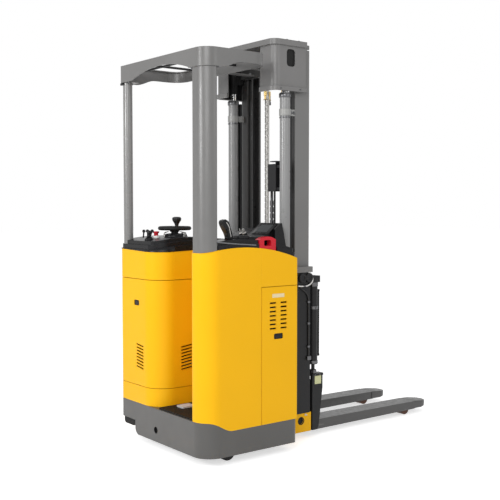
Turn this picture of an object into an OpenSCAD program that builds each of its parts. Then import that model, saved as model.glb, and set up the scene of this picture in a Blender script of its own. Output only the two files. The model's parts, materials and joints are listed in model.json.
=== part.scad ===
// Stand-on electric pallet stacker with overhead guard, two-stage mast and wrap-over forks.
// Millimetres. +X points to the fork tips, +Y to the left, +Z up; the origin is on the floor
// under the middle of the truck. Inside the modules x is counted from the rear face.

/* [Overall] */
// Length from the rear face to the fork tips
overall_l = 2005; // [1900:5:2200]
// Width of the chassis
truck_w = 900; // [860:5:1000]
// Height of the overhead guard
guard_h = 2250; // [2150:5:2320]
// Height of the lowered mast
mast_h = 2380; // [2330:5:2500]

/* [Chassis] */
// Length of the body from the rear face to its front wall
body_l = 645; // [620:5:650]
// Ground clearance of the skirt
skirt_z = 52; // [40:1:70]
// Height of the deck that the operator stands on
deck_z = 245; // [235:1:260]
// Top of the sill under the right-hand cabinet
sill_z = 190; // [170:1:205]
// Thickness of the skirt and deck plates
plate_t = 12; // [8:1:16]
// Radius of the big rear corner
corner_r = 110; // [95:1:120]
// Radius of the other body corners
edge_r = 28; // [15:1:35]
// Highest point of the arched cabinet tops
arch_top = 1187; // [1150:1:1220]
// Radius of the arched cabinet tops
arch_r = 1140; // [1000:10:1400]
// Where the arch is highest, from the rear face
arch_x = 250; // [220:5:280]
// Wall of the sheet covers
cover_t = 4; // [3:0.5:6]

/* [Cabinets] */
// Width of the right-hand cabinet
right_cab_w = 140; // [130:1:150]
// Width of the left-hand cabinet
left_cab_w = 410; // [390:1:425]
// Length of both cabinets beside the bay
cab_l = 384; // [370:1:400]
// Radius of the left cabinet's corner at the bay
bay_r = 127; // [90:1:140]
// Height of the lower seam of the left cabinet
seam_low = 350; // [320:1:400]
// Height of the upper seam of the left cabinet
seam_high = 985; // [900:1:1010]
// Top of the removable panel on the right-hand side
panel_top = 960; // [930:5:1000]
// Thickness of the console moulding
console_t = 24; // [18:1:34]

/* [Guard] */
// Length of the guard ring
guard_l = 435; // [410:1:480]
// Depth of the guard's edge at the posts
guard_d = 100; // [85:1:115]
// Radius of the guard's front corners
guard_corner_r = 92; // [70:1:110]
// Plate thickness of the guard
guard_t = 8; // [5:1:12]
// Length of the right-hand post, fore and aft
post_right_l = 86; // [70:1:100]
// Radius of the right-hand post's outer rear corner
post_right_r = 75; // [60:1:80]
// Diameter of the left-hand post
post_left_d = 56; // [45:1:60]
// Diameter of the guard's bars
bar_d = 14; // [10:1:18]

/* [Mast] */
// Distance from the centre line to the outer face of an outer rail
rail_out = 262; // [258:1:270]
// Where the outer rails start, from the rear face
rail_x = 785; // [780:1:795]
// Depth of an outer rail, fore and aft
rail_d = 110; // [104:1:116]
// Thickness of an outer rail's flanges
rail_flange = 14; // [12:1:15]
// Thickness of an outer rail's web
rail_web = 12; // [11:1:14]
// Width of an outer rail
rail_w = 57; // [54:1:60]
// Gap between the inner and the outer rails
rail_gap = 6; // [5:0.5:8]
// Thickness of the inner rails
inner_t = 10; // [8:1:11]
// Diameter of a lift barrel
barrel_d = 62; // [58:1:64]
// Diameter of a lift rod
rod_d = 40; // [34:1:42]
// Distance from the centre line to a lift cylinder
cyl_y = 255; // [250:1:257]
// Where the lift cylinders stand, from the rear face
cyl_x = 712; // [705:1:716]
// Height of the cylinder housings on the mast head
head_d = 262; // [240:1:280]

/* [Forks] */
// Width over both forks
fork_over = 520; // [510:5:540]
// Width of one fork
fork_w = 130; // [124:1:150]
// Height of a fork's upper face at its heel
fork_z = 98; // [94:1:104]
// Plate thickness of a fork
fork_t = 8; // [6:1:9]
// Clearance under a fork's skirt
fork_low = 36; // [30:1:40]
// Length of a fork's sloping tip
fork_tip = 150; // [120:5:180]
// Where the carriage's front plates start, from the rear face
carriage_x = 908; // [905:1:912]
// Thickness of the carriage's plates
carriage_t = 24; // [20:1:28]
// Height of the carriage
carriage_h = 990; // [950:5:1010]

/* [Running gear] */
// Diameter of the drive wheel
drive_d = 216; // [200:2:216]
// Width of the drive wheel
drive_w = 76; // [70:1:85]
// Diameter of a castor wheel
castor_d = 100; // [90:1:110]
// Width of a castor wheel
castor_w = 34; // [30:1:40]
// How far a castor wheel trails its pivot
trail = 30; // [24:1:34]
// Diameter of a load wheel
load_d = 74; // [70:1:76]
// Width of a load wheel
load_w = 66; // [60:1:68]
// Width of a support leg
leg_w = 92; // [88:1:94]
// Height of a support leg's upper face
leg_z = 74; // [70:1:76]

/* [Controls] */
// Diameter of the steering wheel
wheel_d = 200; // [180:5:240]
// Height of the steering wheel
wheel_z = 1280; // [1270:1:1300]

/* [Hidden] */
$fn = 64;

// Clearances
seat = 0.3;
run = 0.3;
clear = 6;
over = 1;

// Body
rear_x = -overall_l / 2;
half_w = truck_w / 2;
deck_low = deck_z - plate_t;
bay_right = -half_w + right_cab_w;
bay_left = half_w - left_cab_w;
arch_z = arch_top - arch_r;
seam = 3;
mat_t = 8;

// Mast
head_z = mast_h;
cap_t = 33;
cap_low = head_z - cap_t;
head_wall = 6;
head_x = 600;
head_l = 242;
head_out = 293;
head_in = 160;
head_low = cap_low - head_d;
flange_h = 25;
rail_foot = 162;
rail_top = cap_low - clear;
rail_front = rail_x + rail_d;
channel_rear = rail_x + rail_flange;
channel_front = rail_front - rail_flange;
rail_in = rail_out - rail_w;
inner_x = channel_rear + rail_gap;
inner_d = channel_front - rail_gap - inner_x;
inner_out = rail_out - rail_web - 9;
inner_in = 185;
inner_foot = rail_foot + 20;
barrel_foot = rail_foot;
barrel_top = head_low - clear;
tie_h = 80;
tie_t = 25;
tie_top = cap_low - 26;
low_tie_z = 420;
chain_y = 85;
chain_x = inner_x + inner_d / 2;
sheave_d = 48;
sheave_z = cap_low - 58;
chain_t = 8;
chain_low = 905;

// Forks and legs
fork_c = (fork_over - fork_w) / 2;
leg_front = overall_l - fork_tip - 10;
root_front = 893;
root_top = rail_foot;
root_out = 290;
root_in = 150;
root_low = 46;
load_x = leg_front - 42;
shank_out = 286;
shank_t = 20;
shank_top = 390;
fork_heel = carriage_x + carriage_t;
cylinder_x = 933;
cylinder_y = 262;
cylinder_d = 54;

// Running gear
drive_x = 280;
drive_y = bay_left + 105;
turret_r = 86;
right_castor = [245, -half_w + 105];
left_castor = [215, half_w - 105];
steer_x = 231;
steer_y = bay_left + 160;

// x is counted from the rear face in everything below this module.
module truck() {
    translate([rear_x, 0, 0]) children();
}

module both_sides() {
    children();
    mirror([0, 1, 0]) children();
}

// Rectangle between two corners with its own radius at each corner: rear right, front right,
// front left, rear left.
module rounded(x0, y0, x1, y1, r) {
    difference() {
        translate([x0, y0]) square([x1 - x0, y1 - y0]);
        for (c = [[x0, y0, 1, 1, r[0]], [x1, y0, -1, 1, r[1]], [x1, y1, -1, -1, r[2]],
                  [x0, y1, 1, -1, r[3]]])
            if (c[4] > 0)
                difference() {
                    translate([c[0] - (c[2] < 0 ? c[4] : over), c[1] - (c[3] < 0 ? c[4] : over)])
                        square(c[4] + over);
                    translate([c[0] + c[2] * c[4], c[1] + c[3] * c[4]]) circle(c[4]);
                }
    }
}

module block(a, b) {
    translate(a) cube(b - a);
}

module upright(x, y, z0, z1, d) {
    translate([x, y, z0]) cylinder(d = d, h = z1 - z0);
}

module across(x, y0, y1, z, d) {
    translate([x, y0, z]) rotate([-90, 0, 0]) cylinder(d = d, h = y1 - y0);
}

// Everything below the arched line that the cabinet tops follow, raised by lift.
module under_arch(lift = 0) {
    translate([arch_x, -half_w - over, arch_z]) rotate([-90, 0, 0])
        cylinder(r = arch_r + lift, h = truck_w + 2 * over, $fn = 256);
}

module body_plan(inset = 0) {
    r = corner_r - inset;
    rounded(inset, -half_w + inset, body_l - inset, half_w - inset,
            [r, edge_r - inset, edge_r - inset, edge_r - inset]);
}

// Plan of the operator's bay, with its rounded inner corners.
module bay_plan(grow = 0) {
    difference() {
        translate([-over, bay_right - grow])
            square([cab_l + grow + over, bay_left - bay_right + 2 * grow]);
    }
    difference() {
        translate([-over, bay_left + grow - over]) square([bay_r + over, bay_r + over]);
        translate([bay_r, bay_left + grow + bay_r]) circle(bay_r);
        translate([bay_r, bay_left]) square(2 * bay_r);
    }
}

// Chassis

notch_y = half_w - 166;
notch_l = 150;
notch_z = 135;
notch_r = 40;
tow_d = 40;
step_x = 34;
step_l = 150;

// Side profile of the chassis: high at the rear, then down in an S to the sill.
step_n = 14;

function step_at(t) = [step_x + step_l * t, sill_z + (deck_z - sill_z) * (1 + cos(180 * t)) / 2];

module sill_profile() {
    polygon(concat([[-over, 0], [-over, deck_z]], [for (i = [0:step_n]) step_at(i / step_n)],
                   [[body_l + over, sill_z], [body_l + over, 0]]));
}

// The space above the sill line, beside the bay on the right-hand side.
module above_sill() {
    difference() {
        block([-over, -half_w - over, skirt_z - over], [body_l + over, bay_right, mast_h]);
        translate([0, bay_right + over, 0]) rotate([90, 0, 0])
            linear_extrude(half_w + bay_right + 2 * over) sill_profile();
    }
}

module base() color([0.36, 0.36, 0.36]) truck() {
    difference() {
        union() {
            translate([0, 0, skirt_z]) linear_extrude(deck_z - skirt_z) difference() {
                body_plan();
                body_plan(plate_t);
            }
            translate([0, 0, deck_low]) linear_extrude(plate_t) intersection() {
                body_plan(plate_t / 2);
                translate([0, bay_right]) square([body_l, truck_w]);
            }
            translate([0, 0, sill_z - plate_t]) linear_extrude(plate_t) intersection() {
                body_plan(plate_t / 2);
                translate([0, -half_w]) square([body_l, right_cab_w + plate_t]);
            }
            block([plate_t / 2, bay_right, sill_z - plate_t],
                  [body_l - plate_t / 2, bay_right + plate_t, deck_z]);
            // ceiling of the notch, which carries the corner buffer
            translate([0, 0, notch_z]) linear_extrude(plate_t) intersection() {
                body_plan(plate_t / 2);
                translate([0, notch_y]) square([notch_l, half_w]);
            }
        }
        above_sill();
        // notch at the left-hand rear corner
        translate([-over, 0, 0]) rotate([90, 0, 90]) linear_extrude(notch_l + over)
            rounded(notch_y, skirt_z - notch_r, half_w + over, notch_z, [0, 0, 0, 0]);
        translate([-over, notch_y - notch_r, 0]) rotate([90, 0, 90]) linear_extrude(notch_l + over)
            difference() {
                translate([0, skirt_z - over]) square([notch_r + over, notch_r + over]);
                translate([0, skirt_z + notch_r]) circle(notch_r);
            }
        translate([-over, 51, 120]) rotate([0, 90, 0]) cylinder(d = tow_d, h = plate_t + 2 * over);
        upright(drive_x, drive_y, deck_low - over, deck_z + over, 2 * turret_r);
    }
    // bearing ring that the turret turns on
    translate([drive_x, drive_y, deck_z]) difference() {
        cylinder(r = turret_r + ring_w, h = ring_h);
        translate([0, 0, -over]) cylinder(r = turret_r, h = ring_h + 2 * over);
    }
}

buffer_t = 45;
buffer_r = [30, 20];

// Rubber block that hangs under the notch at the left-hand rear corner.
module corner_buffer() color([0.07, 0.07, 0.07]) truck()
    translate([14, 0, 0]) rotate([90, 0, 90]) linear_extrude(116)
        rounded(notch_y + 16, notch_z - buffer_t, half_w - 14, notch_z, [buffer_r[0], buffer_r[1], 0, 0]);

module floor_mat() color([0.07, 0.07, 0.07]) truck()
    translate([0, 0, deck_z]) linear_extrude(mat_t) difference() {
        rounded(plate_t, bay_right + 2, cab_l - 2, bay_left - 2, [8, 8, 8, 8]);
        translate([bay_r, bay_left + bay_r]) difference() {
            circle(bay_r + 2);
        }
    }

pedal_x = 145;
pedal_y = bay_left - 82;
pedal_l = 86;
pedal_w = 66;
pedal_t = 10;

module pedal() color([0.75, 0.75, 0.73]) truck()
    translate([pedal_x, pedal_y, deck_z + mat_t]) difference() {
        linear_extrude(pedal_t)
            rounded(-pedal_l / 2, -pedal_w / 2, pedal_l / 2, pedal_w / 2, [10, 10, 10, 10]);
        for (i = [-2:2])
            translate([i * 15, 0, pedal_t - 2]) translate([-2.5, -pedal_w / 2 + 8, 0])
                cube([5, pedal_w - 16, 4]);
    }

vent_rows = 8;
vent_pitch = 18.8;
vent_h = 8;
vent_drop = 10;
vent_top = 601;
vent_rear = [bay_left + 145, bay_left + 224];
vent_bay = [171, 246];

module left_plan(inset = 0) {
    difference() {
        intersection() {
            body_plan(inset);
            translate([0, bay_left]) square([cab_l, truck_w]);
        }
        difference() {
            translate([-over, bay_left - over]) square([bay_r + over, bay_r + over]);
            translate([bay_r, bay_left + bay_r]) circle(bay_r - inset);
        }
        if (inset > 0)
            translate([-over, bay_left - over]) square([cab_l + 2 * over, inset + over]);
        if (inset > 0)
            translate([cab_l - inset, 0]) square([inset + over, truck_w]);
    }
}

module left_shell(z0, z1) {
    translate([0, 0, z0]) linear_extrude(z1 - z0) difference() {
        left_plan();
        left_plan(cover_t);
    }
}

module left_cabinet() color([0.96, 0.72, 0.08]) truck()
    intersection() {
        union() {
            left_shell(deck_z, seam_low);
            left_shell(seam_high, arch_top);
            // flanges that the service panel is held by
            for (z = [seam_low - cover_t, seam_high])
                translate([0, 0, z]) linear_extrude(cover_t) difference() {
                    left_plan();
                    left_plan(24);
                }
        }
        under_arch();
    }

latch_y = bay_left + 220;
latch_z = 842;
latch_h = 32;
rear_latch_l = 58;
side_latch_l = 66;

// One vent slot; it runs down towards the rounded corner of the cabinet.
module vent(span) {
    polygon([[span[0], -vent_h - vent_drop], [span[1], -vent_h], [span[1], 0], [span[0], -vent_drop]]);
}

// Recess of a paddle latch.
module latch_plan(l) {
    rounded(-l / 2, -latch_h / 2, l / 2, latch_h / 2, [8, 8, 8, 8]);
}

module left_service_panel() color([0.96, 0.72, 0.08]) truck()
    difference() {
        left_shell(seam_low + seam, seam_high - seam);
        for (i = [0:vent_rows - 1]) {
            // rear face
            translate([-over, 0, vent_top - i * vent_pitch]) rotate([90, 0, 90])
                linear_extrude(cover_t + 2 * over) vent(vent_rear);
            // bay face
            translate([0, bay_left + cover_t + over, vent_top - i * vent_pitch]) rotate([90, 0, 0])
                linear_extrude(cover_t + 2 * over) vent(vent_bay);
        }
        translate([-over, latch_y, latch_z]) rotate([90, 0, 90]) linear_extrude(cover_t + 2 * over)
            latch_plan(rear_latch_l);
    }

bay_edge_r = 25;

module right_plan(inset = 0) {
    rounded(inset, -half_w + inset, cab_l - seam - inset, bay_right - inset,
            [corner_r - inset, 0, 0, bay_edge_r - inset]);
}

module right_cabinet() color([0.96, 0.72, 0.08]) truck()
    intersection() {
        difference() {
            union() {
                translate([0, 0, sill_z]) linear_extrude(arch_top - sill_z) right_plan();
                // above the side panel it meets the front section without a seam
                block([cab_l - seam - over, -half_w, panel_top + seam], [cab_l, bay_right, arch_top]);
            }
            difference() {
                translate([0, 0, sill_z - over]) linear_extrude(arch_top) right_plan(cover_t);
                difference() {
                    block([0, -half_w - over, deck_z], [body_l, half_w + over, mast_h]);
                    under_arch(-cover_t);
                }
            }
            translate([0, bay_right + over, 0]) rotate([90, 0, 0])
                linear_extrude(half_w + bay_right + 2 * over) sill_profile();
        }
        under_arch();
    }

// Front section with the battery: open at the right-hand side, where the side panel closes it.
module battery_cover() color([0.96, 0.72, 0.08]) truck()
    intersection() {
        difference() {
            union() {
                translate([0, 0, deck_z]) linear_extrude(arch_top - deck_z)
                    rounded(cab_l, -half_w + cover_t + seam, body_l, half_w, [0, 0, edge_r, 0]);
                translate([0, 0, panel_top + seam]) linear_extrude(arch_top - panel_top - seam)
                    rounded(cab_l, -half_w, body_l, 0, [0, 6, 0, 0]);
            }
            difference() {
                union() {
                    translate([0, 0, deck_z - over]) linear_extrude(panel_top + seam - deck_z)
                        rounded(cab_l + cover_t, -half_w, body_l - cover_t, half_w - cover_t,
                                [0, 0, edge_r - cover_t, 0]);
                    translate([0, 0, deck_z]) linear_extrude(arch_top)
                        rounded(cab_l + cover_t, -half_w + cover_t + seam, body_l - cover_t,
                                half_w - cover_t, [0, 0, edge_r - cover_t, 0]);
                }
                difference() {
                    block([0, -half_w - over, deck_z], [body_l, half_w + over, mast_h]);
                    under_arch(-cover_t);
                }
            }
        }
        under_arch();
    }

slot_cols = [[441, 46], [519, 46]];
slot_rows = 7;
slot_pitch = 24;
slot_h = 9;
slot_top = 874;
panel_latch_x = 504;
panel_latch_z = 680;

module side_panel() color([0.96, 0.72, 0.08]) truck()
    difference() {
        translate([0, 0, sill_z]) linear_extrude(panel_top - sill_z)
            rounded(cab_l, -half_w, body_l, -half_w + cover_t + seam, [0, 6, 0, 0]);
        block([cab_l - over, -half_w + cover_t, sill_z - over],
              [body_l + over, -half_w + cover_t + seam + over, deck_z + 2]);
        for (c = slot_cols, i = [0:slot_rows - 1])
            block([c[0], -half_w - over, slot_top - i * slot_pitch - slot_h],
                  [c[0] + c[1], -half_w + cover_t + seam + over, slot_top - i * slot_pitch]);
        translate([panel_latch_x, -half_w + cover_t + seam + over, panel_latch_z]) rotate([90, 0, 0])
            linear_extrude(cover_t + seam + 2 * over) latch_plan(side_latch_l);
    }

battery_l = 212;
battery_w = truck_w - 110;
battery_h = 630;

module battery() color([0.16, 0.17, 0.19]) truck()
    block([cab_l + cover_t + 18, -battery_w / 2, deck_z],
          [cab_l + cover_t + 18 + battery_l, battery_w / 2, deck_z + battery_h]);

// Black moulding that caps both cabinets and the front section: a lower band that follows the
// arch and a narrower upper tray.
console_inset = 6;
tray_inset = 16;
tray_t = 20;

module console_plan(inset) {
    difference() {
        body_plan(inset);
        bay_plan(inset);
        // the right-hand post takes up the whole end of its cabinet
        translate([-over, -half_w]) square([post_front + seat + over, right_cab_w + 20]);
    }
}

module console_layer(inset, low, high) {
    difference() {
        intersection() {
            translate([0, 0, deck_z]) linear_extrude(mast_h - deck_z) console_plan(inset);
            under_arch(high);
        }
        under_arch(low);
    }
}

module console() color([0.06, 0.06, 0.065]) truck()
    difference() {
        union() {
            console_layer(console_inset, 0, console_t);
            console_layer(tray_inset, console_t - over, console_t + tray_t);
        }
        upright(post_left_x, post_left_y, arch_z, mast_h, post_left_d + 2 * seat);
        disconnect_space();
    }

// Controls

column_d = 132;
column_top = wheel_z - 30;
hub_low = 21;
gauge_x = 312;
gauge_d = 58;
gauge_lean = 28;
gauge_y = bay_left + 165;

function arch_at(x) = arch_z + sqrt(arch_r * arch_r - pow(x - arch_x, 2));
function console_at(x) = arch_z + sqrt(pow(arch_r + console_t + tray_t, 2) - pow(x - arch_x, 2));

// Pod under the steering wheel, with a pocket for the gauge in its shoulder.
module steering_column() color([0.05, 0.05, 0.05]) truck()
    difference() {
        translate([steer_x, steer_y, arch_top]) rotate_extrude() polygon([
            [0, 0], [column_d / 2, 0], [column_d / 2, column_top - 18 - arch_top],
            [column_d / 2 - 2, column_top - 12 - arch_top], [column_d / 2 - 7, column_top - 6 - arch_top],
            [column_d / 2 - 14, column_top - 3 - arch_top], [30, column_top - arch_top],
            [22, column_top - arch_top], [22, wheel_z - hub_low - seat - arch_top],
            [0, wheel_z - hub_low - seat - arch_top]]);
        under_arch(console_t + tray_t);
        gauge_body(gauge_d + 2 * seat, 120);
    }

knob_angle = -115;
knob_lift = 25;

module steering_wheel() color([0.05, 0.05, 0.05]) truck()
    translate([steer_x, steer_y, wheel_z]) {
        rotate_extrude() translate([wheel_d / 2 - 12, 0]) circle(d = 24);
        difference() {
            union() {
                translate([0, 0, -hub_low]) cylinder(d = 58, h = hub_low + 6);
                for (a = [90, 210, 330]) rotate(a)
                    translate([0, -13, -9]) cube([wheel_d / 2 - 12, 26, 10]);
                // boss that carries the knob
                rotate(knob_angle) translate([wheel_d / 2 - 12, 0, 0]) cylinder(d = 20, h = knob_lift);
            }
        }
    }

module wheel_knob() color([0.05, 0.05, 0.05]) truck()
    translate([steer_x, steer_y, wheel_z]) rotate(knob_angle)
        translate([wheel_d / 2 - 12, 0, knob_lift])
        rotate_extrude() polygon([[0, 0], [8, 0], [8, 14], [24, 20], [26, 32], [20, 40], [0, 42]]);

module gauge_body(d, h) {
    translate([gauge_x, gauge_y, arch_top]) rotate([0, -gauge_lean, 0]) cylinder(d = d, h = h);
}

module gauge() color([0.05, 0.05, 0.05]) truck()
    difference() {
        gauge_body(gauge_d, 58);
        under_arch(console_t + tray_t);
    }

stick_x = 56;
stick_y = bay_left + 166;
stick_foot = console_at(stick_x) - arch_top;

// Joystick for the mast, on a flared boot.
module joystick() color([0.05, 0.05, 0.05]) truck()
    difference() {
        translate([stick_x, stick_y, arch_top]) rotate_extrude() polygon([
            [0, 0], [26, 0], [26, stick_foot + 4], [21, stick_foot + 8], [9, stick_foot + 20],
            [6, stick_foot + 24], [6, stick_foot + 32], [13, stick_foot + 35], [14, stick_foot + 42],
            [12, stick_foot + 50], [7, stick_foot + 54], [0, stick_foot + 55]]);
        under_arch(console_t + tray_t);
    }

stop_x = 130;
stop_y = bay_left + 208;
stop_d = 38;
stop_h = 10;
stop_top = arch_top + 75;

module stop_button() color([0.75, 0.05, 0.05]) truck()
    difference() {
        union() {
            upright(stop_x, stop_y, arch_top, stop_top - stop_h, stop_d - 12);
            upright(stop_x, stop_y, stop_top - stop_h, stop_top, stop_d);
        }
        under_arch(console_t + tray_t);
    }

// Control handle on the right-hand cabinet: a curved paddle on a boot.
handle_x = 214;
grip_w = 38;
handle_y = -half_w + 78;

module control_handle() color([0.04, 0.04, 0.04]) truck()
    difference() {
        translate([handle_x, handle_y, arch_top]) {
            cylinder(d1 = 64, d2 = 34, h = console_t + 26);
            // curved grip that leans back towards the operator
            translate([0, -grip_w / 2, 0]) rotate([90, 0, 0]) mirror([0, 0, 1])
                linear_extrude(grip_w) polygon([
                    [-14, 40], [-16, 58], [-24, 78], [-38, 100], [-50, 120], [-55, 134], [-53, 144],
                    [-45, 150], [-31, 151], [-19, 146], [-11, 136], [-5, 118], [3, 96], [11, 74],
                    [14, 56], [14, 40]]);
        }
        under_arch(console_t + tray_t);
    }

// Raised housing of the display at the front right-hand corner: a low hump that spans most of
// the bay, and a higher one at its right-hand end.
shroud_x0 = 430;
shroud_x1 = 600;
shroud_y0 = -half_w + 25;
shroud_mid = -half_w + 210;
shroud_y1 = -half_w + 360;
shroud_low = 97;
shroud_high = 129;
shroud_foot = 50;

module shroud_part(y0, y1, h) {
    translate([0, y0, 0]) rotate([90, 0, 0]) mirror([0, 0, 1]) linear_extrude(y1 - y0) polygon([
        [shroud_x0, arch_top - 60], [shroud_x1, arch_top - 60], [shroud_x1, arch_top + h - 42],
        [shroud_x1 - 26, arch_top + h], [shroud_x1 - 60, arch_top + h],
        [shroud_x0 + 24, arch_top + shroud_foot + 12], [shroud_x0, arch_top + shroud_foot]]);
}

module display_shroud() color([0.06, 0.07, 0.075]) truck()
    difference() {
        union() {
            shroud_part(shroud_y0, shroud_mid, shroud_high);
            shroud_part(shroud_mid - over, shroud_y1, shroud_low);
        }
        under_arch(console_t + tray_t);
        disconnect_space();
    }

key_ys = [shroud_mid + 16, shroud_mid + 48];
key_lean = 27;

module key_switches() color([0.1, 0.1, 0.1]) truck()
    difference() {
        for (y = key_ys)
            translate([shroud_x0 + 12, y, arch_top + shroud_foot + 6]) rotate([0, -key_lean, 0])
                translate([0, 0, -16]) cylinder(d = 24, h = 32);
        under_arch(console_t + tray_t);
        shroud_part(shroud_mid - over, shroud_y1, shroud_low);
    }

disc_x = 433;
disc_y0 = -half_w + 10;
disc_l = 118;
disc_w = 40;
disc_bow = 105;
disc_top = arch_top + 56;

// Recess in the console's near edge that the disconnect handle stands in.
module disconnect_space() {
    block([disc_x - disc_l / 2 - clear, -half_w - over, arch_z],
          [disc_x + disc_l / 2 + clear, disc_y0 + disc_w + clear, mast_h]);
}

module disconnect_handle() color([0.82, 0.04, 0.1]) truck()
    difference() {
        translate([disc_x, disc_y0 + disc_w, 0]) rotate([90, 0, 0]) linear_extrude(disc_w) difference() {
            intersection() {
                rounded(-disc_l / 2, arch_top - 60, disc_l / 2, disc_top, [0, 0, 16, 16]);
                // the grip bows upwards
                translate([0, disc_top - disc_bow]) circle(disc_bow, $fn = 128);
            }
            rounded(-disc_l / 2 + 34, arch_top + 4, disc_l / 2 - 34, disc_top - 20, [8, 8, 8, 8]);
        }
        under_arch();
    }

// Overhead guard

post_inset = 6;
post_front = post_inset + post_right_l;
post_left_x = 36;
post_left_y = half_w - 40;
guard_low = guard_h - guard_d;
guard_arch_rise = 50;
guard_side_rise = 35;
guard_rise_x = [115, 250];
guard_lip = 26;

// Plan of the right-hand post, which fills the rear end of its cabinet.
module right_post_plan(grow = 0) {
    rounded(post_inset - grow, -half_w + post_inset - grow, post_front + grow,
            bay_right - 1 + grow, [post_right_r + grow, 15, 15, 25]);
}

module guard_plan(inset = 0) {
    rounded(inset, -half_w + inset, guard_l - inset, half_w - inset,
            [post_right_r + post_inset - inset, guard_corner_r - inset, guard_corner_r - inset,
             edge_r - inset]);
}

function sagitta_r(half_chord, rise) = (half_chord * half_chord + rise * rise) / (2 * rise);

// Lower edge of the guard's sides: level at the posts, then up in an S to a shallower front.
function guard_edge_at(t) = [guard_rise_x[0] + (guard_rise_x[1] - guard_rise_x[0]) * t,
                             guard_low + guard_side_rise * (1 - cos(180 * t)) / 2];

module guard_ring() color([0.5, 0.5, 0.49]) truck() {
    rear_half = half_w - corner_r - 30;
    rear_r = sagitta_r(rear_half, guard_arch_rise);
    difference() {
        translate([0, 0, guard_low]) linear_extrude(guard_d) difference() {
            guard_plan();
            guard_plan(guard_t);
        }
        // arched lower edge at the rear
        translate([-over, 0, guard_low + guard_arch_rise - rear_r]) rotate([0, 90, 0])
            cylinder(r = rear_r, h = post_front + over, $fn = 180);
        translate([0, half_w + over, 0]) rotate([90, 0, 0]) linear_extrude(truck_w + 2 * over)
            polygon(concat([[guard_rise_x[0], guard_low - over]],
                           [for (i = [0:step_n]) guard_edge_at(i / step_n)],
                           [[guard_l + over, guard_low + guard_side_rise],
                            [guard_l + over, guard_low - over]]));
    }
    // inward lip that stiffens the upper edge
    translate([0, 0, guard_h - 6]) linear_extrude(6) difference() {
        guard_plan();
        guard_plan(guard_lip);
    }
    // seats of the two posts
    translate([0, 0, guard_low - 2]) linear_extrude(40) right_post_plan();
    translate([post_left_x, post_left_y, guard_low - 2]) cylinder(d = post_left_d, h = 40);
    translate([0, 0, guard_low]) linear_extrude(6) intersection() {
        guard_plan();
        union() {
            translate([0, -half_w]) square([post_front + 18, right_cab_w + 12]);
            translate([0, half_w - 90]) square([90, 90]);
        }
    }
}

bar_rows = [120];
bar_cols = [-half_w / 3, half_w / 3];

module guard_bars() color([0.05, 0.05, 0.05]) truck() {
    for (x = bar_rows)
        across(x, -half_w + guard_t, half_w - guard_t, guard_h - 26, bar_d);
    for (y = bar_cols)
        translate([guard_t, y, guard_h - 26]) rotate([0, 90, 0])
            cylinder(d = bar_d, h = guard_l - 2 * guard_t);
}

module right_post() color([0.55, 0.55, 0.54]) truck()
    difference() {
        translate([0, 0, arch_at(0) - 40]) linear_extrude(guard_low - 2 - arch_at(0) + 40)
            right_post_plan();
        under_arch();
    }

module left_post() color([0.55, 0.55, 0.54]) truck()
    difference() {
        upright(post_left_x, post_left_y, arch_at(0) - 40, guard_low - 2, post_left_d);
        under_arch();
    }

stay_y = 120;
stay_w = 40;
stay_t = 10;
stay_z = guard_h - 30;

// Flat bars from the front of the guard to the mast's upper cross tie.
module guard_stays() color([0.45, 0.45, 0.45]) truck()
    both_sides()
        block([guard_l, stay_y - stay_w / 2, stay_z], [rail_x - tie_t, stay_y + stay_w / 2, stay_z + stay_t]);

// Mast

module outer_rail() {
    difference() {
        block([rail_x, rail_in, rail_foot], [rail_front, rail_out, rail_top]);
        block([channel_rear, rail_in - over, rail_foot - over],
              [channel_front, rail_out - rail_web, rail_top + over]);
    }
}

module outer_tie(z0, z1) {
    block([rail_x - tie_t, -rail_out, z0], [rail_x, rail_out, z1]);
}

module outer_mast() color([0.47, 0.47, 0.46]) truck() {
    both_sides() outer_rail();
    outer_tie(min(stay_z - 10, tie_top - tie_h), tie_top);
    outer_tie(low_tie_z, low_tie_z + tie_h);
    outer_tie(rail_foot, rail_foot + tie_h);
}

bracket_z = 1015;
bracket_h = 34;
bracket_w = 26;

bracket_in = cyl_y + barrel_d / 2 + 1;

module mast_brackets() color([0.45, 0.45, 0.45]) truck()
    both_sides() {
        block([body_l, bracket_in, bracket_z],
              [rail_front, bracket_in + bracket_w / 2, bracket_z + bracket_h]);
        block([rail_x, rail_out, bracket_z], [rail_front, bracket_in + over, bracket_z + bracket_h]);
    }

module side_covers() color([0.06, 0.06, 0.06]) truck()
    both_sides() {
        block([body_l, bracket_in, root_top], [rail_front - 14, bracket_in + 7, bracket_z]);
        // hose channel behind the rail, above and below the cylinder's clamp
        for (z = [[low_tie_z + tie_h, clamp_z - seat], [clamp_z + clamp_h + seat, barrel_top - 20]])
            block([cyl_x + barrel_d / 2 + 3, rail_out - 34, z[0]],
                  [rail_x - tie_t - seat, rail_out - 2, z[1]]);
    }

clamp_z = barrel_top - 134;
clamp_h = 38;

module lift_barrels() color([0.56, 0.56, 0.56]) truck()
    both_sides() difference() {
        upright(cyl_x, cyl_y, barrel_foot, barrel_top, barrel_d);
        upright(cyl_x, cyl_y, barrel_foot + 30, barrel_top - 40, barrel_d - 14);
        upright(cyl_x, cyl_y, barrel_foot + 30, barrel_top + over, rod_d + 2 * run);
    }

module barrel_clamps() color([0.62, 0.62, 0.58]) truck()
    both_sides() difference() {
        union() {
            upright(cyl_x, cyl_y, clamp_z, clamp_z + clamp_h, barrel_d + 8);
            block([cyl_x, rail_out - 24, clamp_z], [rail_x, rail_out - 2, clamp_z + clamp_h]);
        }
        upright(cyl_x, cyl_y, clamp_z - over, clamp_z + clamp_h + over, barrel_d);
    }

block_h = 164;
block_z1 = barrel_top - 415;
block_z0 = block_z1 - block_h;

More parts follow.
